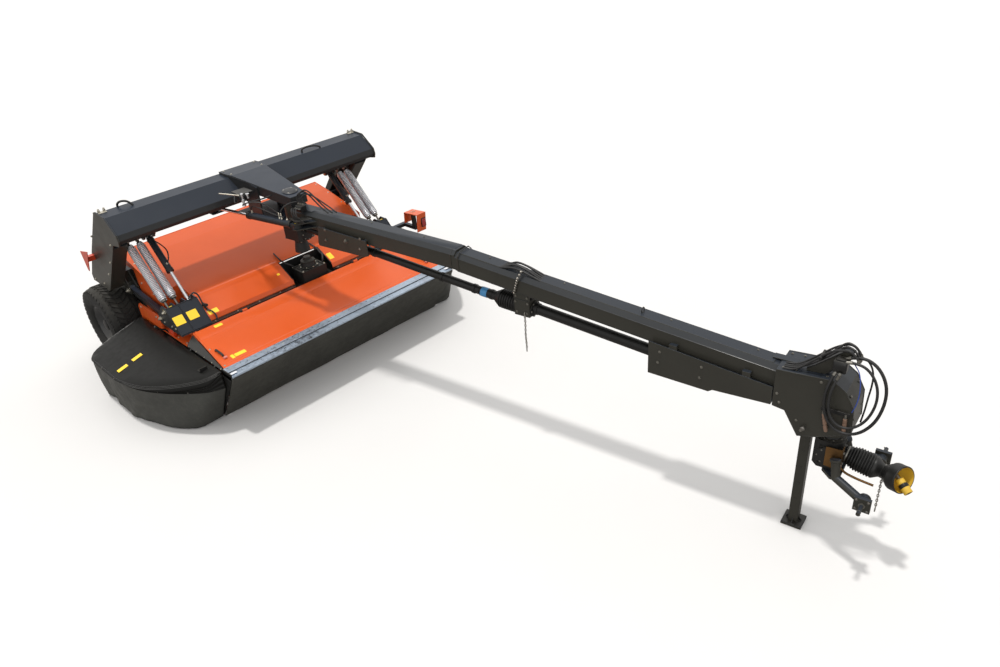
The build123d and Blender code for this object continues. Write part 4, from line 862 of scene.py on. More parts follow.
gear.tube(smooth_line([(0.33, 2.05, 0.856), (0.345, 2.05, 0.90), (0.38, 2.10, 0.925), (0.41, 2.19, 0.915),
                       (0.42, 2.28, 0.945), (0.40, 2.42, 0.985)]), 0.009, 10)
gear.tube(smooth_line([(0.07, 2.20, 0.856), (0.04, 2.21, 0.895), (0.01, 2.24, 0.915), (-0.02, 2.30, 0.950),
                       (-0.01, 2.44, 0.99)]), 0.008, 10)
gear.use = 3
gear.lathe(frame_at((0.30, 2.19, 0.855), (0, 0, 1)), [(0, 0.018), (0.02, 0.018), (0.022, 0.024), (0.036, 0.024),
                                                      (0.04, 0.016)], 16)
gear.done()

# gables, wing plates and shoulder
gable = Kit("gable_fittings", "header", ZINC, YELLOW, BLACK, ORANGE_DARK)
for sign in (-1, 1):
    for y in (2.02, 2.20, 2.42, 2.62):
        gable.bolt((sign * 1.335, y, 0.648), (0, 0, 1), 0.0085)
    gable.use = 1
    x = sign * 1.3665
    gable.quad_plate([(x, 2.80, 0.62), (x, 2.86, 0.62), (x, 2.86, 0.745), (x, 2.80, 0.745)])
    gable.use = 0
    for y, z in ((2.56, 0.775), (2.92, 0.775), (2.92, 0.50), (2.74, 0.50)):
        gable.bolt((sign * 1.3662, y, z), (sign, 0, 0), 0.010)
    # latch lever and its bracket over the guard's inner edge
    gable.use = 2
    gable.tube([(sign * 1.352, 2.36, 0.652), (sign * 1.385, 2.363, 0.705), (sign * 1.437, 2.370, 0.732)], 0.008, 10)
    gable.lathe(frame_at((sign * 1.437, 2.370, 0.732), (sign * 0.62, 0.08, 0.78)),
                [(0, 0.010), (0.01, 0.014), (0.046, 0.014), (0.054, 0.010)], 14)
    gable.use = 3
    gable.box((sign * 1.345, 2.30, 0.672), (0.036, 0.115, 0.045))
    gable.box((sign * 1.345, 2.30, 0.712), (0.016, 0.07, 0.04))
    gable.use = 0
    gable.bolt((sign * 1.345, 2.27, 0.694), (0, 0, 1), 0.008)
    gable.bolt((sign * 1.345, 2.335, 0.694), (0, 0, 1), 0.008)
    for y in (1.30, 1.47, 1.62, 1.78, 1.93):
        z = 0.6445 + (y - 1.255) / 0.705 * 0.010
        gable.bolt((sign * 1.3605, y, z), (0, 0, 1), 0.0065)
gable.done()

hoop = Kit("hoop_fittings", "header", ORANGE, ZINC, LAMP, BLACK)
for x in (1.484, 1.606):
    hoop.tube([(x, 1.774, 0.868), (x, 1.7495, 1.082), (x, 1.981, 1.061), (x, 1.993, 0.934)], 0.0045, 8)
hoop.use = 1
for x in (1.530, 1.560):
    for y in (1.88, 1.91):
        hoop.bolt((x, y, 1.0655 + (1.985 - y) * 0.0875), (0, -0.09, 1), 0.007)
hoop.use = 3
hoop.box((1.571, 1.7520, 0.972), (0.066, 0.014, 0.105), 0.004)
hoop.use = 2
hoop.box((1.571, 1.7470, 0.972), (0.054, 0.014, 0.090), 0.005)
hoop.done()
# ------------------------------------------------------------------ soft pieces
def curtain():
    """The front curtain: one sheet with shallow folds, hung from the strip's edge."""
    line = [(1.0955, 0.619), (1.1000, 0.600), (1.160, 0.516), (1.230, 0.418), (1.300, 0.321), (1.372, 0.220),
            (1.444, 0.120), (1.500, 0.040), (1.512, 0.022)]
    n = 220
    bm = bmesh.new()
    grid = []
    total = sum(math.hypot(b[0] - a[0], b[1] - a[1]) for a, b in zip(line, line[1:]))
    s = 0.0
    for k, (y, z) in enumerate(line):
        if k:
            s += math.hypot(y - line[k - 1][0], z - line[k - 1][1])
        f = s / total
        row_ = []
        for i in range(n + 1):
            x = -1.371 + 2.742 * i / n
            wave = (math.sin(x * 7.1 + 0.6) * 0.45 + math.sin(x * 15.3 + 2.0) * 0.3
                    + math.sin(x * 4.3 - 1.1) * 0.35)
            off = 0.0085 * (f ** 1.3) * wave - 0.003 * math.sin(math.pi * f)
            # joints between the curtain's lengths of cloth
            for xj in (-0.76, 0.02, 0.80):
                d = abs(x - xj)
                if d < 0.012:
                    off -= 0.0045 * (1 - d / 0.012) * min(1, f * 8)
            row_.append(bm.verts.new((x, y + CENTRE_Y + off * 0.82, z + off * -0.57 if False else z)))
        grid.append(row_)
    for a, b in zip(grid, grid[1:]):
        for i in range(n):
            bm.faces.new((a[i], a[i + 1], b[i + 1], b[i]))
    bmesh.ops.recalc_face_normals(bm, faces=bm.faces)
    mesh = bpy.data.meshes.new("front_curtain_cloth")
    bm.to_mesh(mesh)
    bm.free()
    mesh.materials.append(CLOTH)
    mesh.shade_smooth()
    o = bpy.data.objects.new("front_curtain_cloth", mesh)
    bpy.context.scene.collection.objects.link(o)
    sub = o.modifiers.new("sub", "SUBSURF")
    sub.levels = sub.render_levels = 1
    sol = o.modifiers.new("thick", "SOLIDIFY")
    sol.thickness = 0.004
    sol.offset = 0.0
    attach(o, "lid")
    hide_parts("front_curtain")
    return o


curtain()
# hem tape and the clamping rail along the curtain's top
rail = Kit("curtain_rail", "lid", SEAM, ZINC, CLOTH)
rail.use = 0
rail.tube([(-1.366, 1.0925, 0.622), (1.366, 1.0925, 0.622)], 0.005, 8)
rail.use = 2
rail.tube([(-1.369, 1.5115, 0.0275), (1.369, 1.5115, 0.0275)], 0.0052, 8)
rail.done()
# dark rubber flaps that close the gaps between the header's ends and the end guards
flap = Kit("end_flaps", "header", GUARD, BOLT)
for sign in (-1, 1):
    side = Matrix(((0, 0, 1, sign * 1.3775 - 0.002), (1, 0, 0, 0), (0, 1, 0, 0), (0, 0, 0, 1)))
    flap.use = 0
    flap.slab(side, [(1.108, 0.600), (1.24, 0.606), (1.60, 0.610), (1.66, 0.30), (1.64, 0.060), (1.520, 0.030),
                     (1.440, 0.130), (1.300, 0.326), (1.160, 0.520)], 0.004)
    flap.slab(Matrix.Translation((0, 0, 0.604)),
              [(sign * 1.362, 1.62), (sign * 1.385, 1.62), (sign * 1.385, 2.95), (sign * 1.362, 2.95)], 0.005)
    side = Matrix(((0, 0, 1, sign * 1.3595 - 0.002), (1, 0, 0, 0), (0, 1, 0, 0), (0, 0, 0, 1)))
    flap.slab(side, [(1.66, 0.500), (2.68, 0.500), (2.68, 0.6385), (1.66, 0.6385)], 0.004)
flap.done()

GUARD_LINE = [(1.386, 1.530, 1.386, 1.246), (1.690, 1.572, 1.560, 1.330), (1.905, 2.030, 1.775, 1.590),
         (1.968, 2.260, 1.930, 1.880), (1.975, 2.480, 2.010, 2.220), (1.960, 2.720, 2.018, 2.550),
         (1.930, 2.960, 1.960, 2.930), (1.386, 2.990, 1.386, 2.985)]
HINGE_Y = (1.400, 1.880)


def guard_top_z(x):
    return 0.650 - (x - 1.386) / 0.674 * 0.176


def guard_line(which, k=10):
    """The rim's (0) or the hem's (1) smooth outline, from front to rear."""
    pts = [(c, d, 0) if which == 0 else (a, b, 0) for a, b, c, d in GUARD_LINE]
    pts = smooth_line(pts, k)
    return [Vector((min(p.x, 2.0165), p.y, 0)) for p in pts]


def guard_visual(sign, side_name):
    rim_pts = guard_line(0)
    hem_pts = guard_line(1)
    n = len(rim_pts)
    # ---- moulded top
    cols = []
    for i, p in enumerate(rim_pts):
        f = i / (n - 1)
        y_in = 1.262 + (2.968 - 1.262) * f
        inner = Vector((1.388, y_in, guard_top_z(1.388)))
        zt = guard_top_z(p.x)
        wall = max(zt - 0.472, 0.016)
        rr = min(0.060, wall * 0.75 + 0.012, max((p - Vector((1.388, p.y, 0))).length * 0.5, 0.006))
        flat_end = inner.lerp(Vector((p.x, p.y, 0)), 1)
        dirn = Vector((p.x - inner.x, p.y - inner.y, 0))
        ln = max(dirn.length, 1e-4)
        dirn = dirn / ln
        col = []
        for t in (0, 0.12, 0.25, 0.4, 0.55, 0.7, 0.85, 1.0):
            q = inner + dirn * ((ln - rr) * t)
            crown = 0.007 * math.sin(math.pi * min(1, t * 0.9))
            if math.hypot(q.x - 1.386, 0) < 0.02:
                crown = 0
            col.append(Vector((q.x, q.y, min(guard_top_z(q.x) + crown, 0.651))))
        z_edge = guard_top_z(flat_end.x)
        for a in (20, 40, 60, 80, 90):
            a = math.radians(a)
            q = inner + dirn * ((ln - rr) + rr * math.sin(a))
            col.append(Vector((q.x, q.y, z_edge - min(rr, wall * 0.8) * (1 - math.cos(a)) )))
        base = col[-1].z
        # three thin ridges round the rim
        for dz, out in ((0.13, -0.002), (0.19, 0.0050), (0.28, 0.0050), (0.34, -0.002), (0.44, -0.002),
                        (0.50, 0.0050), (0.59, 0.0050), (0.65, -0.002), (0.74, -0.002), (0.80, 0.0052),
                        (0.90, 0.0052), (0.95, -0.002), (1.0, -0.002)):
            z = base + (0.468 - base) * dz
            q = inner + dirn * (ln - 0.0045 + out)
            col.append(Vector((q.x, q.y, z)))
        cols.append(col)
    kit = Kit(f"guard_shell_{side_name}", f"guard_{side_name}", GLOSS)
    rows = [[Vector((sign * q.x, q.y, q.z)) for q in col] for col in cols]
    kit.grid(rows)
    top = kit.done(angle=32)
    sol = top.modifiers.new("thick", "SOLIDIFY")
    sol.thickness = 0.006
    sol.offset = -1.0 if sign > 0 else -1.0
    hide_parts(f"end_guard_{side_name}")
    # ---- skirt
    bm = bmesh.new()
    grid = []
    rows_n = 14
    area, last = 0.0, None
    for j in range(rows_n + 1):
        f = j / rows_n
        row_ = []
        for i, (p, h) in enumerate(zip(rim_pts, hem_pts)):
            u = i / (n - 1)
            e = min(1.0, 6 * min(u, 1 - u))
            bulge = 0.010 * math.sin(math.pi * f) * e
            wave = 0.0065 * f * e * (math.sin(u * 31 + 0.7) + 0.6 * math.sin(u * 57 + 2.1))
            q = p.lerp(h, f)
            if 0 < i < n - 1:
                tan = rim_pts[i + 1] - rim_pts[i - 1]
            else:
                tan = rim_pts[min(i + 1, n - 1)] - rim_pts[max(i - 1, 0)]
            out = Vector((-tan.y, tan.x, 0)).normalized()
            if out.x < 0:
                out = -out
            if abs(tan.x) > abs(tan.y) and q.y < 1.6:
                out = Vector((tan.y, -tan.x, 0)).normalized()
            q = q + out * (bulge + wave - 0.008)
            z = 0.474 + (0.0165 - 0.474) * f
            q.x = max(1.3865, min(q.x, 2.0165))
            row_.append(Vector((sign * q.x, q.y + CENTRE_Y, z)))
        grid.append(row_)
    made = [[bm.verts.new(q) for q in r_] for r_ in grid]
    for a, b in zip(made, made[1:]):
        for i in range(n - 1):
            f_ = bm.faces.new((a[i], a[i + 1], b[i + 1], b[i]))
            area += f_.calc_area()
    bmesh.ops.recalc_face_normals(bm, faces=bm.faces)
    mesh = bpy.data.meshes.new(f"guard_skirt_{side_name}")
    bm.to_mesh(mesh)
    bm.free()
    mesh.materials.append(SKIRT)
    mesh.shade_smooth()
    o = bpy.data.objects.new(f"guard_skirt_{side_name}", mesh)
    bpy.context.scene.collection.objects.link(o)
    sub = o.modifiers.new("sub", "SUBSURF")
    sub.levels = sub.render_levels = 1
    sol = o.modifiers.new("thick", "SOLIDIFY")
    sol.thickness = 0.004
    sol.offset = 0.0
    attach(o, f"guard_{side_name}")
    # ---- what is on the guard
    g = Kit(f"guard_fittings_{side_name}", f"guard_{side_name}", GLOSS, BOLT, YELLOW, BLACK, SEAM, RIDGE_HIGHLIGHT)
    # three ridge lines round the rim, lighter than the shell as a painted highlight
    g.use = 5
    for z_add, inset_ in ((0.006, 0.014), (-0.004, 0.006), (-0.015, 0.0015)):
        line = []
        for i in range(1, n - 1):
            p = rim_pts[i]
            dirn = Vector((p.x - 1.388, p.y - (1.262 + 1.706 * i / (n - 1)), 0))
            ln = max(dirn.length, 1e-3)
            q = p - dirn / ln * inset_
            line.append(Vector((sign * min(q.x, 2.014), q.y, guard_top_z(p.x) - 0.004 + z_add)))
        g.tube(line, 0.0024, 6)
    g.use = 0
    # the hinge knuckles
    for y in HINGE_Y:
        for dy in (-0.044, 0.018):
            g.lathe(frame_at((sign * 1.405, y + dy, 0.630), (0, 1, 0)),
                    [(0, 0.0128), (0.001, 0.0145), (0.025, 0.0145), (0.026, 0.0128)], 18)
    g.use = 1
    # bolts along the rim
    for i in range(6, n - 6, 9):
        p = rim_pts[i]
        tan = (rim_pts[i + 1] - rim_pts[i - 1]).normalized()
        out = Vector((tan.y, -tan.x, 0))
        c = cols[i][-5]
        if out.x < 0 and p.y > 1.6:
            out = -out
        if p.y <= 1.6 and out.y > 0:
            out = -out
        g.bolt((sign * c.x + sign * out.x * 0.001, c.y + out.y * 0.001, 0.479), (sign * out.x, out.y, 0), 0.0055)
    # notched bracket and pull strap near the front
    g.use = 3
    g.box((sign * 1.470, 1.455, guard_top_z(1.470) + 0.010), (0.075, 0.050, 0.012))
    g.box((sign * 1.470, 1.430, guard_top_z(1.470) + 0.024), (0.075, 0.010, 0.036))
    g.use = 1
    g.bolt((sign * 1.487, 1.462, guard_top_z(1.487) + 0.015), (0, 0, 1), 0.0075)
    g.use = 2
    for cx, cy in ((1.898, 2.322), (1.736, 2.330)):
        a, b = 0.052, 0.026
        zf = lambda x: guard_top_z(x) + 0.0085
        g.quad_plate([(sign * (cx - a), cy - b, zf(cx - a)), (sign * (cx + a), cy - b, zf(cx + a)),
                      (sign * (cx + a), cy + b, zf(cx + a)), (sign * (cx - a), cy + b, zf(cx - a))])
    g.done()
    return top


guard_visual(-1, "right")
guard_visual(1, "left")
# ------------------------------------------------------------------ drawbar
def B(v, u, z):
    """A point in drawbar coordinates for kits placed by BAR."""
    return Vector((v, -u, z))


d = Kit("drawbar_fittings", "drawbar", DARK, BOLT, BLACK, RUBBER, YELLOW, BLUE, CHAIN, place=BAR)


def rear_top(u):
    return 1.708 + (1.655 - 1.708) * (u - 0.06) / 2.06


def front_top(u):
    return 1.636 + (1.354 - 1.636) * (u - 2.12) / 2.93


# cover plates: rear cover, the stepped joint, and the front cover
d.use = 0
for u0, u1, half, lift_ in ((0.34, 2.100, 0.060, 0.004), (2.140, 2.603, 0.062, 0.007), (2.935, 4.86, 0.060, 0.006)):
    rows = []
    for u in (u0, u0 + 0.006, (u0 + u1) / 2, u1 - 0.006, u1):
        z = rear_top(u) if u < 2.12 else front_top(u)
        h = lift_ if u0 + 0.001 < u < u1 - 0.001 else 0.0006
        rows.append([B(-half, u, z + 0.0003), B(-half + 0.003, u, z + h), B(half - 0.003, u, z + h),
                     B(half, u, z + 0.0003)])
    d.grid(rows)
d.use = 1
for u in (0.42, 1.06, 1.70, 2.417, 3.146, 4.064, 4.72):
    z = (rear_top(u) if u < 2.12 else front_top(u)) + (0.004 if u < 1.98 else 0.008 if u < 2.7 else 0.006)
    d.bolt(B(0.022, u, z), (0, -0.1, 1), 0.0068)
# side plate bolts and stud
for u, z in ((0.577, 1.585), (0.561, 1.478), (1.041, 1.582), (1.017, 1.476)):
    d.bolt(B(-0.138, u, z), (-1, 0, 0), 0.011)
d.bolt(B(-0.138, 0.844, 1.523), (-1, 0, 0), 0.017, nut=True)
# channel, bearing and head bolts
for u, z in ((4.053, 1.262), (4.04, 1.168), (4.38, 1.232), (4.37, 1.137)):
    for s in (-1, 1):
        d.bolt(B(s * 0.137, u, z), (s, 0, 0), 0.0095)
for u, z in ((4.925, 1.192), (4.947, 1.126), (5.197, 1.374), (5.075, 1.02), (5.113, 0.945)):
    for s in (-1, 1):
        d.bolt(B(s * 0.137, u, z), (s, 0, 0), 0.0085)
for u, z in ((2.725, 1.375), (2.835, 1.375), (2.72, 1.33), (2.84, 1.33)):
    for s in (-1, 1):
        d.bolt(B(s * (0.0705 if z > 1.35 else 0.0755), u, z if z > 1.35 else 1.325), (s, 0, 0), 0.009)
# swing cylinder's pin caps and grease nipples
d.bolt(B(-0.2085, 0.2716, 1.634), (0, 0, 1), 0.021)
d.use = 4
d.lathe(frame_at(B(-0.2085, 0.2716, 1.652), (0, 0, 1)), [(0, 0.010), (0.012, 0.010), (0.016, 0.006)], 14)
d.quad_plate([B(-0.2365, 0.29, 1.6345), B(-0.2365, 0.26, 1.6345), B(-0.224, 0.25, 1.6345), B(-0.224, 0.29, 1.6345)],
             round_=0.002)
# joint line and stiffener ribs under the bar, side edge beads
d.use = 0
for s in (-1, 1):
    d.tube([B(s * 0.0952, u, (rear_top(u) if u < 2.12 else front_top(u)) - 0.033) for u in (0.12, 1.0, 2.10)], 0.0035, 6)
    d.tube([B(s * 0.0952, u, front_top(u) - 0.033) for u in (2.14, 3.5, 5.04)], 0.0035, 6)
    d.tube([B(s * 0.090, u, front_top(u) - 0.156) for u in (2.14, 3.5, 5.04)], 0.0045, 6)
for u in (2.08, 2.16):
    z = rear_top(2.1)
    d.tube([B(-0.096, u, z - 0.165), B(-0.096, u, z - 0.036), B(-0.062, u, z - 0.002), B(0.062, u, z - 0.002),
            B(0.096, u, z - 0.036), B(0.096, u, z - 0.165)], 0.0055, 8)
# cap on the rear end, ring on top near the head
d.use = 2
d.lathe(frame_at(B(0, 0.0, 1.7215), (0, 0, 1)), [(0, 0.093), (0.004, 0.095)], 32)
ring = frame_at(B(0.0, 3.844, front_top(3.844) + 0.024), (0, 1, 0))
d.tube([ring @ Vector((0.022 * math.cos(a / 12 * math.tau), 0.022 * math.sin(a / 12 * math.tau), 0)) for a in range(13)],
       0.0045, 8)
# hoses that leave the rear cover, arch over the joint and run in under the front one
d.use = 3
for k, (v, h, r_) in enumerate(((-0.052, 0.030, 0.0095), (-0.030, 0.048, 0.0095), (-0.006, 0.040, 0.0085),
                                (0.018, 0.050, 0.0085), (0.042, 0.034, 0.0075))):
    d.tube(smooth_line([B(v, 2.55, front_top(2.55) - 0.006), B(v, 2.61, front_top(2.61) + 0.010),
                        B(v + 0.004, 2.69, front_top(2.69) + h), B(v - 0.003, 2.78, front_top(2.78) + h + 0.006),
                        B(v, 2.86, front_top(2.86) + h * 0.7), B(v, 2.93, front_top(2.93) + 0.008),
                        B(v, 2.98, front_top(2.98) - 0.006)]), r_, 10)
# string of bright beads over the near side
d.use = 6
for k in range(9):
    f_ = k / 8
    c = B(-0.1075 - 0.002 * math.sin(f_ * 3.1), 2.802 - 0.061 * f_, 1.612 - 0.190 * f_)
    if k < 2:
        c.x += 0.016 * (2 - k)
    d.lathe(frame_at(c + Vector((0, 0, 0.009)), (0, 0.3, -1)),
            [(0, 0.004), (0.003, 0.0105), (0.009, 0.0125), (0.015, 0.0105), (0.018, 0.004)], 14)
d.done()

# driveline guards: collars, blue band, ribbed bellows, bearing block, chain
dl = Kit("driveline_detail", "drawbar", GUARD, BOLT, BLUE, BLACK, CHAIN, CAST, place=BAR)
A0, A1 = B(0, 0.150, 1.4711), B(0, 2.300, 1.285)
AX = (A1 - A0).normalized()
at = frame_at(A0, AX)
L = (A1 - A0).length
dl.use = 5
dl.lathe(at @ Matrix.Translation((0, 0, -0.030)), [(0, 0.022), (0.002, 0.026), (0.034, 0.026)], 20)
dl.use = 0
for t in (0.02, 0.9, 1.72, 2.08):
    dl.lathe(at @ Matrix.Translation((0, 0, t)), [(0, 0.0375), (0.003, 0.0425), (0.03, 0.0425), (0.033, 0.0375)], 24)
dl.use = 0
bel = frame_at(B(0, 2.308, 1.284), (0, -1, -0.055))
dl.use = 2
dl.lathe(bel @ Matrix.Translation((0, 0, 0.012)), [(0, 0.0405), (0.001, 0.0432), (0.064, 0.0432), (0.065, 0.0405)], 28)
dl.use = 0
dl.lathe(bel @ Matrix.Translation((0, 0, 0.102)), [(0, 0.0405), (0.002, 0.0450), (0.026, 0.0450), (0.028, 0.0405)], 28)
prof = [(-0.003, 0.036), (0.0, 0.0412), (0.150, 0.0412), (0.160, 0.043)]
ribs = 9
for k in range(ribs):
    t = 0.172 + 0.0235 * k
    r_ = min(0.0785, 0.050 + 0.0135 * k)
    prof += [(t, r_ - 0.0075), (t + 0.006, r_ + 0.0060), (t + 0.013, r_ + 0.0060), (t + 0.019, r_ - 0.0070)]
prof += [(0.386, 0.0785), (0.392, 0.076), (0.395, 0.066), (0.395, 0.03)]
dl.lathe(bel, prof, 40)
# front tube collars
C0, C1 = B(0, 2.866, 1.258), B(0, 4.400, 1.118)
at = frame_at(C0, (C1 - C0).normalized())
for t in (0.0,):
    dl.lathe(at @ Matrix.Translation((0, 0, t)), [(0, 0.0465), (0.003, 0.0515), (0.036, 0.0515), (0.039, 0.0465)], 28)
# bearing block in its stand
dl.use = 5
dl.lathe(frame_at(B(0, 2.690, 1.262), (0, -1, -0.09)), [(0, 0.050), (0.004, 0.070), (0.016, 0.072), (0.018, 0.05)], 28)
dl.lathe(frame_at(B(0, 2.853, 1.253), (0, -1, -0.09)), [(0, 0.060), (0.004, 0.069), (0.012, 0.069), (0.014, 0.056)], 28)
dl.use = 1
for k in range(6):
    a = math.tau * k / 6
    dl.bolt(B(0.060 * math.cos(a), 2.868, 1.252 + 0.060 * math.sin(a)), (0, -1, -0.09), 0.0075)
for s in (-1, 1):
    for u in (2.73, 2.83):
        dl.bolt(B(s * 0.0755, u, 1.23), (s, 0, 0), 0.010)
dl.done()


def chain(name, body, top, z_end, place, wire=0.0034, link_len=0.026):
    """A short safety chain that hangs straight down."""
    kit = Kit(name, body, CHAIN, place=place)
    z, k = top.z, 0
    while z > z_end:
        turn = Matrix.Rotation(math.radians(90 * (k % 2) + 12), 4, "Z")
        sway = 0.003 * math.sin(k * 0.5)
        c = Matrix.Translation((top.x + sway, top.y, z)) @ turn
        pts = []
        for i in range(13):
            a = math.tau * i / 12
            pts.append(c @ Vector((0.0062 * math.cos(a), 0, (link_len / 2 - 0.001) * math.sin(a) * 1.15)))
        kit.tube(pts, wire, 6)
        z -= link_len * 0.80
        k += 1
    kit.tube([Vector((top.x, top.y, z_end + 0.002)), Vector((top.x, top.y, z_end - 0.028))], 0.005, 8)
    return kit.done()


chain("driveline_chain", "drawbar", B(-0.090, 2.815, 1.225), 0.895, BAR)
fix = Kit("driveline_chain_eye", "drawbar", CHAIN, place=BAR)
fix.tube([B(-0.072, 2.815, 1.236), B(-0.086, 2.815, 1.243), B(-0.094, 2.815, 1.236), B(-0.088, 2.815, 1.226)], 0.003, 8)
fix.done()

# gearbox under the pivot, and the swing pivot's hoses
pv = Kit("pivot_detail", "drawbar", CAST, BOLT, RUBBER, BLACK, YELLOW, CHROME, place=BAR)
pv.use = 0
pv.lathe(frame_at(B(0, 0.128, 1.42), (0, -1, 0)), [(0, 0.075), (0.012, 0.075), (0.016, 0.055)], 28)
pv.lathe(frame_at(B(0, 0, 1.302), (0, 0, -1)), [(0, 0.060), (0.020, 0.066), (0.060, 0.072), (0.100, 0.078),
                                               (0.104, 0.070), (0.104, 0.03)], 32)
pv.use = 1
for k in range(8):
    a = math.tau * k / 8
    pv.bolt(B(0.066 * math.cos(a), 0.1405, 1.42 + 0.066 * math.sin(a)), (0, -1, 0), 0.007)
for v in (-0.085, 0.085):
    for u in (-0.115, 0.115):
        pv.bolt(B(v, u, 1.352), (0, 0, -1), 0.009)
# valve block on the bar's rear end with unions
pv.use = 3
pv.box(B(-0.095, 0.235, 1.735), (0.070, 0.090, 0.060), 0.004)
pv.use = 1
for u in (0.205, 0.235, 0.265):
    pv.lathe(frame_at(B(-0.131, u, 1.740), (-1, 0, 0.2)), [(0, 0.0095), (0.014, 0.0095), (0.016, 0.007), (0.030, 0.007)], 10)
    pv.lathe(frame_at(B(-0.090, u, 1.766), (0, 0, 1)), [(0, 0.009), (0.012, 0.009), (0.014, 0.0065), (0.026, 0.0065)], 10)
pv.use = 2
for k, (u, h) in enumerate(((0.205, 0.105), (0.235, 0.125), (0.265, 0.09))):
    pv.tube(smooth_line([B(-0.090, u, 1.790), B(-0.086, u + 0.01, 1.790 + h * 0.7), B(-0.060, u + 0.10, 1.790 + h),
                         B(-0.040 + 0.02 * k, u + 0.24, 1.775), B(-0.050 + 0.025 * k, u + 0.36, 1.722)]), 0.0075, 8)
    pv.tube(smooth_line([B(-0.161, u, 1.746), B(-0.185, u + 0.002, 1.752), B(-0.215, u + 0.03, 1.735),
                         B(-0.222, u + 0.045, 1.69), B(-0.205, u + 0.04, 1.660)]), 0.0065, 8)
# guard plate with a fin beside the cylinder's ears
pv.use = 3
pv.slab(frame_at(B(-0.255, 0.20, 1.665), (0, 0, 1)), [(-0.01, -0.13), (0.12, -0.22), (0.13, -0.17), (0.03, 0.02)], 0.006)
pv.slab(frame_at(B(-0.225, 0.33, 1.64), (1, 0.3, 0)), [(-0.07, 0.0), (0.07, 0.0), (0.05, 0.085), (0.0, 0.06)], 0.005)
pv.done()

# wedge on the pivot and the pin's cap
wd = Kit("wedge_detail", "main_frame", FRAME, ZINC, BLACK, CAP)


def wedge_top(y):
    return 1.823 + (1.913 - 1.823) * (y - 1.640) / 0.920 if y < 2.56 else 1.913


wd.use = 0
for s in (-1, 1):
    wd.tube([(s * 0.090, 1.662, wedge_top(1.662) - 0.002), (s * 0.213, 2.690, 1.911), (s * 0.213, 2.798, 1.911)], 0.005, 8)
wd.tube([(-0.090, 1.662, wedge_top(1.662) - 0.003), (0.090, 1.662, wedge_top(1.662) - 0.003)], 0.005, 8)
wd.use = 3
wd.lathe(frame_at((0, 1.8, wedge_top(1.8) - 0.004), (0, -0.095, 1)),
         [(0, 0.078), (0.010, 0.078), (0.014, 0.070), (0.020, 0.050), (0.022, 0.03)], 32)
wd.use = 1
for k in range(4):
    a = math.tau * (k + 0.5) / 4
    y = 1.8 + 0.062 * math.sin(a)
    wd.bolt((0.062 * math.cos(a), y, wedge_top(y) + 0.006), (0, -0.095, 1), 0.008)
for s in (-1, 1):
    for y in (2.60, 2.76):
        wd.bolt((s * 0.180, y, 1.913), (0, 0, 1), 0.009)
wd.done()

# swing cylinder: gland, unions, hoses and the pin's cap
cyl_eye = Vector((-0.2085 * math.cos(SWING) + 0.2716 * math.sin(SWING),
                  1.8 - 0.2085 * math.sin(SWING) - 0.2716 * math.cos(SWING), 1.600))
rod_eye = Vector((-0.400, 2.700, 1.600))
at = frame_at(cyl_eye, rod_eye - cyl_eye)
sc = Kit("swing_cylinder_fittings", "swing_barrel", BLACK, ZINC, RUBBER)
sc.use = 0
sc.lathe(at @ Matrix.Translation((0, 0, 0.664)), [(0, 0.0365), (0.003, 0.0405), (0.036, 0.0405), (0.040, 0.036), (0.040, 0.019)], 28)
sc.lathe(at @ Matrix.Translation((0, 0, 0.082)), [(0, 0.0365), (0.003, 0.039), (0.02, 0.039), (0.023, 0.0365)], 28)
sc.use = 1
for t in (0.13, 0.635):
    p = at @ Vector((0, 0, t)) + Vector((0, 0, 0.035))
    sc.lathe(frame_at(p, (0, 0, 1)), [(0, 0.0105), (0.013, 0.0105), (0.015, 0.0075), (0.03, 0.0075)], 12)
sc.use = 2
p = at @ Vector((0, 0, 0.635)) + Vector((0, 0, 0.062))
q = at @ Vector((0, 0, 0.13)) + Vector((0, 0, 0.062))
sc.tube(smooth_line([p, p + Vector((0, -0.012, 0.035)), p.lerp(q, 0.2) + Vector((0, 0, 0.045)),
                     p.lerp(q, 0.6) + Vector((0, 0, 0.012)), q + Vector((-0.014, 0.03, 0.0))]), 0.0065, 8)
sc.done()
lp = Kit("swing_cylinder_hoses", "swing_barrel", RUBBER, ZINC)
for k, (t, ends) in enumerate(((0.235, [(-0.03, 0.05, 0.10), (-0.09, 0.12, 0.165), (-0.16, 0.22, 0.175), (-0.20, 0.29, 0.150)]),
                               (0.205, [(0.01, -0.01, 0.095), (0.05, -0.045, 0.138), (0.12, -0.075, 0.152),
                                        (0.20, -0.10, 0.136), (0.235, -0.11, 0.108)]))):
    p = at @ Vector((0, 0, t)) + Vector((0, 0, 0.034))
    lp.use = 1
    lp.lathe(frame_at(p, (0, 0, 1)), [(0, 0.0100), (0.010, 0.0100), (0.012, 0.0085), (0.062, 0.0085), (0.064, 0.006)], 12)
    lp.use = 0
    lp.tube(smooth_line([p + Vector((0, 0, 0.055))] + [p + Vector(e) for e in ends]), 0.0070, 8)
lp.done()
vv = Kit("wedge_valve", "main_frame", BLACK, ZINC, CHROME, RUBBER)
vv.use = 0
vv.box((-0.295, 2.215, 1.842), (0.150, 0.170, 0.012))
vv.box((-0.345, 2.150, 1.812), (0.075, 0.060, 0.050))
vv.use = 2
vv.lathe(frame_at((-0.352, 2.118, 1.862), (0, 0, -1)),
         [(0, 0.010), (0.006, 0.016), (0.030, 0.016), (0.034, 0.011), (0.060, 0.011), (0.064, 0.019), (0.086, 0.019),
          (0.090, 0.012), (0.112, 0.012), (0.116, 0.020), (0.130, 0.020), (0.134, 0.008)], 18)
vv.lathe(frame_at((-0.300, 2.105, 1.850), (0, 0, -1)),
         [(0, 0.012), (0.004, 0.020), (0.020, 0.020), (0.024, 0.011), (0.052, 0.011), (0.056, 0.006)], 18)
vv.use = 1
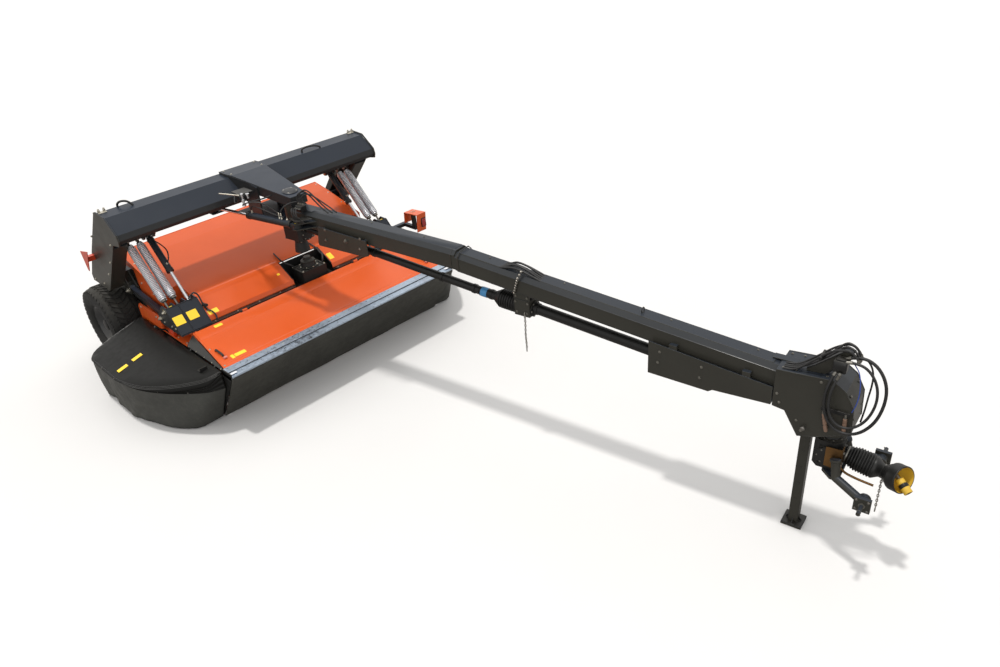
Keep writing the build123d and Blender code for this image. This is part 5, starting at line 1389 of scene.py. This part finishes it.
vv.tube([(-0.495, 2.300, 1.868), (-0.420, 2.215, 1.850), (-0.362, 2.135, 1.838)], 0.0065, 8)
vv.use = 3
vv.tube(smooth_line([(-0.330, 2.140, 1.800), (-0.300, 2.120, 1.765), (-0.250, 2.080, 1.760), (-0.190, 2.020, 1.775),
                     (-0.130, 1.960, 1.800)]), 0.0075, 8)
vv.tube(smooth_line([(-0.360, 2.165, 1.800), (-0.375, 2.200, 1.755), (-0.370, 2.270, 1.735), (-0.330, 2.340, 1.760),
                     (-0.290, 2.400, 1.790)]), 0.0075, 8)
vv.done()
an = Kit("anchor_fittings", "main_frame", YELLOW, ZINC)
an.use = 1
an.bolt((-0.400, 2.700, 1.562), (0, 0, -1), 0.019)
an.done()
# ------------------------------------------------------------------ head of the drawbar
HOSES = {
    "head_hose_outer": (0.021, 1.344, [(-92, -5316, 1568), (-96, -5400, 1612), (-104, -5505, 1578),
                                       (-116, -5578, 1468), (-138, -5592, 1330), (-160, -5556, 1176),
                                       (-176, -5462, 1064), (-180, -5345, 1052), (-178, -5262, 1136),
                                       (-174, -5236, 1262), (-168, -5244, 1386), (-132, -5272, 1476)]),
    "head_hose_inner": (0.018, 1.085, [(-122, -5330, 1560), (-128, -5402, 1578), (-138, -5484, 1536),
                                       (-150, -5538, 1440), (-166, -5546, 1322), (-184, -5508, 1196),
                                       (-198, -5430, 1116), (-204, -5344, 1118), (-202, -5284, 1186),
                                       (-194, -5268, 1290), (-180, -5276, 1388), (-152, -5298, 1462)]),
    "head_hose_thin": (0.012, 0.554, [(-50, -5358, 1580), (-50, -5404, 1584), (-52, -5452, 1552),
                                      (-56, -5482, 1484), (-62, -5486, 1396), (-68, -5478, 1300),
                                      (-72, -5474, 1200), (-72, -5462, 1106)]),
}
for name, (dia, length, route) in HOSES.items():
    curve = bpy.data.curves.new(name + "_cord", "CURVE")
    curve.dimensions = "3D"
    spline = curve.splines.new("NURBS")
    spline.points.add(len(route) - 1)
    for pt, (x, y, z) in zip(spline.points, route):
        q = BAR @ Vector((x / 1000, y / 1000, z / 1000))
        pt.co = (q.x, q.y, q.z, 1)
    spline.order_u = 3
    spline.use_endpoint_u = True
    spline.resolution_u = 8
    curve.bevel_depth = dia / 2
    curve.bevel_resolution = 4
    curve.use_fill_caps = True
    curve.materials.append(RUBBER)
    o = bpy.data.objects.new(name + "_cord", curve)
    scene.collection.objects.link(o)
    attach(o, "drawbar")
    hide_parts(name)

hd = Kit("head_fittings", "drawbar", DARK, BOLT, BLACK, RUBBER, TAN, CABLE, CHAIN, STEEL, place=BAR)
# nose plate with a raised rim, blue-grey on top from the bar paint's painted sky light, and edge beads of the cheeks
hd.use = 0
for s in (-1, 1):
    hd.tube([B(s * 0.1345, u, z) for u, z in ((4.902, 1.380), (5.265, 1.4055), (5.357, 1.3405), (5.4175, 1.226),
                                               (5.4275, 1.025))], 0.0048, 8)
    hd.tube([B(s * 0.1345, u, z) for u, z in ((4.902, 1.087), (4.990, 1.073), (5.094, 0.894), (5.206, 0.927),
                                               (5.426, 1.024))], 0.0048, 8)
hd.slab(frame_at(B(0, 4.918, 1.3835), (0, 0.0, 1)), [(-0.085, -0.010), (0.085, -0.010), (0.085, 0.052), (-0.085, 0.052)]
        if False else [(-0.010, -0.085), (0.052, -0.085), (0.052, 0.085), (-0.010, 0.085)], 0.006)
hd.use = 1
for u in (4.935, 5.02, 5.22):
    for v in (-0.098, 0.098):
        hd.bolt(B(v, u, 1.3815 + (u - 4.9) * 0.0685), (0, -0.07, 1), 0.008)
for z in (1.30, 1.13, 1.06):
    for v in (-0.10, 0.10):
        u = 5.418 if z < 1.226 else 5.418 - (z - 1.226) * 0.53
        hd.bolt(B(v, u + 0.004, z), (0, -1, 0.2), 0.008)
# hose holder: folded flanges, ring of ferrules at its tip, clamp
hd.use = 2
for v in (-0.0752, -0.0250):
    hd.tube([B(v, u, z) for u, z in ((5.085, 1.4185), (5.130, 1.452), (5.296, 1.605), (5.349, 1.605), (5.335, 1.549),
                                     (5.200, 1.4035))], 0.0042, 8)
hd.use = 1
for p, q, r_ in (((-92, 5316, 1568), (-96, 5400, 1612), 0.0135), ((-122, 5330, 1560), (-128, 5402, 1578), 0.0115),
                 ((-50, 5358, 1580), (-50, 5404, 1584), 0.0085)):
    a = B(p[0] / 1000, p[1] / 1000, p[2] / 1000)
    b = B(q[0] / 1000, q[1] / 1000, q[2] / 1000)
    at = frame_at(a, b - a)
    hd.lathe(at @ Matrix.Translation((0, 0, -0.020)), [(0, r_), (0.014, r_ * 1.12), (0.016, r_), (0.050, r_), (0.053, r_ * 0.8)], 14)
for p, q, r_ in (((-132, 5272, 1476), (-168, 5244, 1386), 0.0135), ((-152, 5298, 1462), (-180, 5276, 1388), 0.0115)):
    a = B(p[0] / 1000, p[1] / 1000, p[2] / 1000)
    b = B(q[0] / 1000, q[1] / 1000, q[2] / 1000)
    at = frame_at(a, b - a)
    hd.lathe(at @ Matrix.Translation((0, 0, -0.024)), [(0, r_), (0.014, r_ * 1.12), (0.016, r_), (0.048, r_), (0.051, r_ * 0.8)], 14)
hd.use = 2
# clamp plate that carries the hoses' ends beside the holder
hd.box(B(-0.108, 5.292, 1.520), (0.070, 0.085, 0.085), 0.006)
hd.box(B(-0.108, 5.292, 1.568), (0.050, 0.060, 0.016), 0.004)
hd.use = 3
# shorter hoses that lie over the holder from the bar to the clamp
for k, (v, top) in enumerate(((-0.082, 1.640), (-0.060, 1.655), (-0.030, 1.632), (-0.105, 1.628))):
    hd.tube(smooth_line([B(v, 4.935, 1.385), B(v, 5.02, 1.405), B(v + 0.004, 5.12, 1.47 + 0.01 * k),
                         B(v - 0.003, 5.22, 1.565 + 0.012 * k), B(v, 5.29, top), B(v - 0.006, 5.335, top + 0.006),
                         B(v - 0.010, 5.372, top - 0.020), B(v - 0.012, 5.388, 1.588)]), 0.0078, 8)
hd.use = 1
for v in (-0.092, -0.072, -0.042, -0.117):
    hd.lathe(frame_at(B(v, 5.388, 1.594), (0, -0.25, -1)), [(0, 0.0092), (0.018, 0.0105), (0.034, 0.0105), (0.036, 0.007)], 12)
hd.use = 2
hd.box(B(-0.068, 5.165, 1.535), (0.110, 0.016, 0.030), 0.003)
# tan coupling handles parked beside the cheek, on their bracket
hd.box(B(-0.147, 5.315, 1.185), (0.016, 0.185, 0.028), 0.003)
hd.use = 4
for (u0, z0), (u1, z1) in (((5.247, 1.151), (5.278, 1.013)), ((5.382, 1.160), (5.386, 1.039))):
    a, b = B(-0.158, u0, z0), B(-0.158, u1, z1)
    ln = (b - a).length
    hd.lathe(frame_at(a, b - a), [(0, 0.009), (0.004, 0.0125), (ln * 0.25, 0.0135), (ln * 0.3, 0.011), (ln * 0.35, 0.0135),
                                  (ln * 0.6, 0.0135), (ln * 0.64, 0.011), (ln * 0.69, 0.0135), (ln - 0.004, 0.0125),
                                  (ln, 0.008)], 18)
hd.use = 1
for u0, z0 in ((5.245, 1.160), (5.382, 1.168)):
    hd.lathe(frame_at(B(-0.158, u0, z0 + 0.022), (0, 0, -1)), [(0, 0.007), (0.010, 0.010), (0.030, 0.010)], 12)
# knob of the jack's lock pin
hd.use = 7
hd.tube([B(-0.150, 5.130, 0.985), B(-0.050, 5.130, 0.985)], 0.0085, 10)
hd.lathe(frame_at(B(-0.150, 5.130, 0.985), (-1, 0, 0)), [(0, 0.010), (0.006, 0.0165), (0.018, 0.0165), (0.024, 0.009)], 16)
# blue cable down the far side of the hose bundle
hd.use = 5
hd.tube(smooth_line([B(-0.112, 5.372, 1.552), B(-0.132, 5.410, 1.510), B(-0.150, 5.432, 1.440), B(-0.158, 5.438, 1.360),
                     B(-0.160, 5.430, 1.280), B(-0.150, 5.412, 1.215)]), 0.0034, 8)
hd.done()

jk = Kit("jack_fittings", "jack", BLACK, BOLT, BLACK, place=BAR)
jk.use = 0
for s in (-1, 1):
    jk.tube([B(s * 0.0319, 5.0981, z) for z in (0.022, 0.918)], 0.0034, 8)
    jk.tube([B(s * 0.0319, 5.1619, z) for z in (0.022, 0.918)], 0.0034, 8)
jk.slab(frame_at(B(0, 5.130, 0.020), (0, 0, 1)), [(-0.072, -0.062), (-0.062, -0.072), (0.062, -0.072), (0.072, -0.062),
                                                  (0.072, 0.062), (0.062, 0.072), (-0.062, 0.072), (-0.072, 0.062)], 0.004)
for a in range(4):
    t = Matrix.Rotation(a * math.pi / 2, 4, "Z")
    base_ = B(0, 5.130, 0.0) + (t @ Vector((0.035, 0, 0)))
    jk.grid([[base_ + (t @ Vector((0, -0.003, 0.022))), base_ + (t @ Vector((0.028, -0.003, 0.022))),
              base_ + (t @ Vector((0, -0.003, 0.062)))],
             [base_ + (t @ Vector((0, 0.003, 0.022))), base_ + (t @ Vector((0.028, 0.003, 0.022))),
              base_ + (t @ Vector((0, 0.003, 0.062)))]], closed=True, caps=True)
jk.use = 2
for z in (0.25, 0.40, 0.55, 0.70):
    for s in (-1, 1):
        jk.lathe(frame_at(B(s * 0.0346, 5.130, z), (s, 0, 0)), [(0, 0.0105), (0.0006, 0.0105), (0.0007, 0.0085), (0.0001, 0.0085)], 16)
jk.done()

# ------------------------------------------------------------------ hitch head
hg = Kit("hitch_gearbox_detail", "hitch", CAST, BOLT, YZINC, BLACK, CHAIN, place=BAR)
HU = 5.290
hg.use = 0
hg.lathe(frame_at(B(0, HU, 0.878), (0, 0, 1)), [(0, 0.086), (0.010, 0.088), (0.013, 0.088), (0.016, 0.070), (0.030, 0.064)], 32)
hg.lathe(frame_at(B(0, HU, 0.657), (0, 0, -1)), [(0, 0.080), (0.004, 0.080), (0.006, 0.060)], 32)
hg.lathe(frame_at(B(0, HU + 0.0915, 0.762), (0, -1, 0)), [(0, 0.064), (0.010, 0.064), (0.013, 0.055), (0.016, 0.040)], 32)
for s in (-1, 1):
    hg.lathe(frame_at(B(s * 0.0915, HU, 0.762), (s, 0, 0)), [(0, 0.070), (0.010, 0.070), (0.013, 0.062), (0.016, 0.03)], 32)
    for z in (0.690, 0.720, 0.806, 0.836):
        hg.box(B(s * 0.0955, HU, z), (0.010, 0.100, 0.008), 0.002)
for z in (0.682, 0.845):
    hg.box(B(0, HU + 0.0955, z), (0.100, 0.010, 0.010), 0.002)
hg.use = 1
for k in range(8):
    a = math.tau * (k + 0.5) / 8
    hg.bolt(B(0.076 * math.cos(a), HU + 0.076 * math.sin(a), 0.891), (0, 0, 1), 0.0075)
for k in range(6):
    a = math.tau * k / 6
    hg.bolt(B(0.053 * math.cos(a), HU + 0.1015, 0.762 + 0.053 * math.sin(a)), (0, -1, 0), 0.0065)
    for s in (-1, 1):
        hg.bolt(B(s * 0.1015, HU + 0.056 * math.cos(a), 0.762 + 0.056 * math.sin(a)), (s, 0, 0), 0.0065)
# yellow-zinc bracket over the head with an arm ahead
hg.use = 2
hg.grid([[B(-0.116, HU + 0.104, 0.866), B(-0.116, HU + 0.104, 0.690), B(-0.062, HU + 0.104, 0.690), B(-0.062, HU + 0.104, 0.866)],
         [B(-0.116, HU + 0.110, 0.866), B(-0.116, HU + 0.110, 0.690), B(-0.062, HU + 0.110, 0.690), B(-0.062, HU + 0.110, 0.866)]],
        closed=True, caps=True)
hg.grid([[B(-0.116, HU + 0.000, 0.860), B(-0.116, HU + 0.000, 0.700), B(-0.110, HU + 0.000, 0.700), B(-0.110, HU + 0.000, 0.860)],
         [B(-0.116, HU + 0.106, 0.866), B(-0.116, HU + 0.106, 0.690), B(-0.110, HU + 0.106, 0.690), B(-0.110, HU + 0.106, 0.866)]],
        closed=True, caps=True)
hg.tube(smooth_line([B(-0.092, HU + 0.108, 0.700), B(-0.094, HU + 0.150, 0.672), B(-0.094, HU + 0.230, 0.654),
                     B(-0.090, HU + 0.330, 0.640)]), 0.0085, 10)
hg.use = 1
for z in (0.740, 0.826):
    hg.bolt(B(-0.089, HU + 0.111, z), (0, -1, 0), 0.0085)
hg.done()

ha = Kit("hitch_arm_fittings", "hitch", DARK, BOLT, STEEL, BLACK, place=BAR)
for s in (-1, 1):
    ha.use = 0
    # weld collars, flange bolts and the link pin's end
    a = B(s * 0.132, 5.366, 0.792)
    bnd = B(s * 0.168, 5.392, 0.668)
    ha.lathe(frame_at(a, bnd - a), [(-0.004, 0.030), (0.0, 0.0375), (0.016, 0.0375), (0.022, 0.0305)], 24)
    ha.lathe(frame_at(B(s * 0.2685, 5.600, 0.612), (s, 0, 0)), [(-0.062, 0.0365), (-0.060, 0.040), (-0.050, 0.040), (-0.048, 0.0365)], 28)
    ha.use = 2
    for du in (-0.038, 0.038):
        for dz in (-0.038, 0.038):
            ha.bolt(B(s * 0.294, 5.600 + du, 0.612 + dz), (s, 0, 0), 0.0085)
    ha.use = 1
    ha.lathe(frame_at(B(s * 0.294, 5.600, 0.612), (s, 0, 0)), [(0, 0.022), (0.006, 0.022), (0.008, 0.0145)], 20)
    ha.lathe(frame_at(B(s * 0.362, 5.600, 0.612), (s, 0, 0)), [(0, 0.0143), (0.0005, 0.0150), (0.003, 0.0150), (0.0035, 0.0143)], 20)
    ha.tube([B(s * 0.374, 5.585, 0.632), B(s * 0.374, 5.612, 0.594)], 0.0032, 8)
ha.done()

# drive guards: ribbed black bellows, then the flared cone turned aside, yellow inside
PT = math.radians(-10.3)
P0 = Vector((0, -5.406, 0.760))
P_DIR = Vector((0, -math.cos(PT), math.sin(PT)))
P_NECK = P0 + P_DIR * 0.262
C_DIR = Vector((-0.490, -0.837, 0.244)).normalized()
Y_DIR = Vector((-0.504, -0.743, -0.4355)).normalized()
n = 48


def ring_of(r_, t):
    return [Vector((r_ * math.cos(math.tau * i / n), r_ * math.sin(math.tau * i / n), t)) for i in range(n)]


pt = Kit("pto_bellows", "hitch", BELLOWS, YELLOW_IN, BOLT, place=BAR @ frame_at(P0, P_DIR))
pt.use = 0
out = [(-0.008, 0.060), (0.006, 0.0605)]
for k in range(9):
    t = 0.014 + 0.0182 * k
    r_ = min(0.0815, 0.066 + 0.0055 * k)
    out += [(t, r_ - 0.0040), (t + 0.0055, r_ + 0.0035), (t + 0.011, r_ + 0.0035), (t + 0.0165, r_ - 0.0040)]
out += [(0.188, 0.0825), (0.198, 0.0785), (0.214, 0.066), (0.230, 0.054), (0.238, 0.0505), (0.2585, 0.0505)]
pt.grid([ring_of(r_, t) for t, r_ in out], closed=True)
pt.grid([ring_of(0.0505, 0.2585), ring_of(0.041, 0.2585)], closed=True)
inner = [(0.2585, 0.041), (0.232, 0.041), (0.180, 0.068), (0.060, 0.056), (0.016, 0.050), (0.010, 0.037),
         (-0.008, 0.037)]
pt.grid([ring_of(r_, t) for t, r_ in inner], closed=True)
pt.grid([ring_of(0.037, -0.008), ring_of(0.060, -0.008)], closed=True)
pt.use = 2
pt.lathe(Matrix.Translation((0, 0, 0.243)), [(0, 0.0505), (0.001, 0.0525), (0.009, 0.0525), (0.010, 0.0505)], 40, caps=False)
pt.lathe(Matrix.Translation((0, 0, -0.002)), [(0, 0.0605), (0.001, 0.0630), (0.009, 0.0630), (0.010, 0.0605)], 40, caps=False)
p_obj = pt.done(angle=50)
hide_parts("pto_guards")

cn = Kit("pto_cone", "hitch", BELLOWS, YELLOW_IN, place=BAR @ frame_at(P_NECK, C_DIR))
cn.use = 0
out = [(-0.006, 0.050), (-0.002, 0.053), (0.006, 0.0535), (0.012, 0.0555), (0.036, 0.0690), (0.042, 0.0750),
       (0.047, 0.0755), (0.064, 0.0860), (0.070, 0.0925), (0.078, 0.0955), (0.086, 0.0960), (0.136, 0.0960),
       (0.139, 0.0972), (0.146, 0.0972), (0.1485, 0.0955)]
cn.grid([ring_of(r_, t) for t, r_ in out], closed=True)
cn.grid([ring_of(0.0955, 0.1485), ring_of(0.0890, 0.1490)], closed=True)
cn.use = 1
inner = [(0.1490, 0.0890), (0.140, 0.0872), (0.088, 0.0865), (0.070, 0.077), (0.046, 0.061), (0.016, 0.046),
         (0.006, 0.030), (0.004, 0.0215)]
cn.grid([ring_of(r_, t) for t, r_ in inner], closed=True)
cn.use = 0
cn.grid([ring_of(0.0215, -0.004), ring_of(0.050, -0.006)], closed=True)
# the joint's dark cross seen inside the cone
cn.lathe(Matrix.Translation((0, 0, 0.004)), [(0, 0.0215), (0.004, 0.034), (0.018, 0.034), (0.022, 0.026), (0.050, 0.026),
                                             (0.060, 0.018)], 28)
c_obj = cn.done(angle=50)
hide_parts("pto_guards")

yk = Kit("pto_yoke_detail", "pto", YELLOW_IN, STEEL, GUARD, place=BAR @ frame_at(P_NECK + C_DIR * 0.100, Y_DIR))
yk.use = 0
yk.grid([ring_of(r_, t) for t, r_ in ((0.014, 0.0262), (0.016, 0.0285), (0.046, 0.0290), (0.048, 0.0270), (0.052, 0.0265))],
        closed=True)
yk.grid([ring_of(r_, t) for t, r_ in ((0.076, 0.0265), (0.078, 0.0290), (0.116, 0.0295), (0.1195, 0.0280), (0.1205, 0.0250),
                                      (0.1205, 0.0182))], closed=True)
yk.use = 2
yk.grid([ring_of(r_, t) for t, r_ in ((0.050, 0.0265), (0.052, 0.0310), (0.057, 0.0325), (0.071, 0.0325), (0.076, 0.0310),
                                      (0.078, 0.0265))], closed=True)
yk.use = 1
yk.grid([ring_of(r_, t) for t, r_ in ((0.1205, 0.0182), (0.1208, 0.0176), (0.112, 0.0173), (0.050, 0.0173))], closed=True)
for k in range(6):
    a = math.tau * k / 6
    yk.tube([Vector((0.0170 * math.cos(a), 0.0170 * math.sin(a), 0.05)), Vector((0.0170 * math.cos(a), 0.0170 * math.sin(a), 0.1195))], 0.0015, 6)
yk.lathe(Matrix.Translation((0, 0, -0.024)), [(0, 0.013), (0.004, 0.0165), (0.034, 0.0165), (0.038, 0.020)], 24)
yk.done()

chain("guard_chain", "hitch", B(0, 5.652, 0.640), 0.375, BAR)

# ------------------------------------------------------------------ a bolt by each marker board, and the strip's reflectors
mk = Kit("marker_trim", "main_frame", WHITE, ZINC, LAMP, BLACK)
for s in (-1, 1):
    mk.use = 1
    mk.bolt((s * 1.56, 3.015, 1.62), (0, -1, 0), 0.008)
mk.bm.verts.index_update()
mk.done()

ws = Kit("strip_reflector", "lid", WHITE, ALU)
ws.use = 0
for s in (-1, 1):
    ws.quad_plate([(s * 1.352, 1.120, 0.6505), (s * 1.290, 1.120, 0.6505), (s * 1.290, 1.150, 0.6515), (s * 1.352, 1.150, 0.6515)],
                  lift=0.002)
ws.done()


# ------------------------------------------------------------------ floor, light, camera
def floor():
    m = Mat("pale_floor", rough=0.85)
    pale = m.mix(m.span(m.noise(0.6, 3), 0, 1), (0.618, 0.617, 0.616, 1), (0.628, 0.627, 0.626, 1))
    ray = m.new("ShaderNodeLightPath")
    m.colour(m.mix(ray.outputs["Is Camera Ray"], (0.26, 0.25, 0.24, 1), pale))
    mesh = bpy.data.meshes.new("floor")
    s = 60.0
    mesh.from_pydata([(-s, -s, 0), (s, -s, 0), (s, s, 0), (-s, s, 0)], [], [(0, 1, 2, 3)])
    o = bpy.data.objects.new("floor", mesh)
    bpy.context.scene.collection.objects.link(o)
    o.location.z = -0.0005
    mesh.materials.append(m.m)


floor()

scene.view_settings.view_transform = "Standard"
scene.view_settings.exposure = 0.0
world = bpy.data.worlds.new("studio")
scene.world = world
world.use_nodes = True
wn = world.node_tree.nodes
wn["Background"].inputs["Color"].default_value = (1.0, 0.985, 0.965, 1)
wn["Background"].inputs["Strength"].default_value = 1.05


def area(name, place, target, size, power, colour=(1, 1, 1)):
    data = bpy.data.lights.new(name, "AREA")
    data.shape = "DISK"
    data.size = size
    data.energy = power
    data.color = colour
    o = bpy.data.objects.new(name, data)
    scene.collection.objects.link(o)
    o.location = place
    o.rotation_euler = (Vector(target) - Vector(place)).to_track_quat("-Z", "Y").to_euler()


sun = bpy.data.lights.new("key", "SUN")
sun.energy = 2.05
sun.angle = math.radians(4)
sun.color = (1.0, 0.97, 0.93)
so = bpy.data.objects.new("key", sun)
scene.collection.objects.link(so)
so.rotation_euler = Vector((0.08, -0.10, -1.0)).to_track_quat("-Z", "Y").to_euler()
area("fill", (-7, -6, 5), (0, 0.5, 0.6), 5.0, 60, (0.97, 0.98, 1.0))

cam_data = bpy.data.cameras.new("camera")
cam_data.sensor_width = 36.0
cam_data.lens = 28.08
cam_data.clip_end = 200
cam = bpy.data.objects.new("camera", cam_data)
scene.collection.objects.link(cam)
az, el, roll = math.radians(43.3), math.radians(30.6), math.radians(-5.0)
fwd = Vector((math.sin(az) * math.cos(el), math.cos(az) * math.cos(el), -math.sin(el)))
right = Vector((math.cos(az), -math.sin(az), 0))
up = right.cross(fwd)
r = right * math.cos(roll) + up * math.sin(roll)
u = -right * math.sin(roll) + up * math.cos(roll)
cam.matrix_world = Matrix(((r.x, u.x, -fwd.x, -3.687), (r.y, u.y, -fwd.y, -4.95 + CENTRE_Y),
                           (r.z, u.z, -fwd.z, 4.4), (0, 0, 0, 1)))
scene.camera = cam
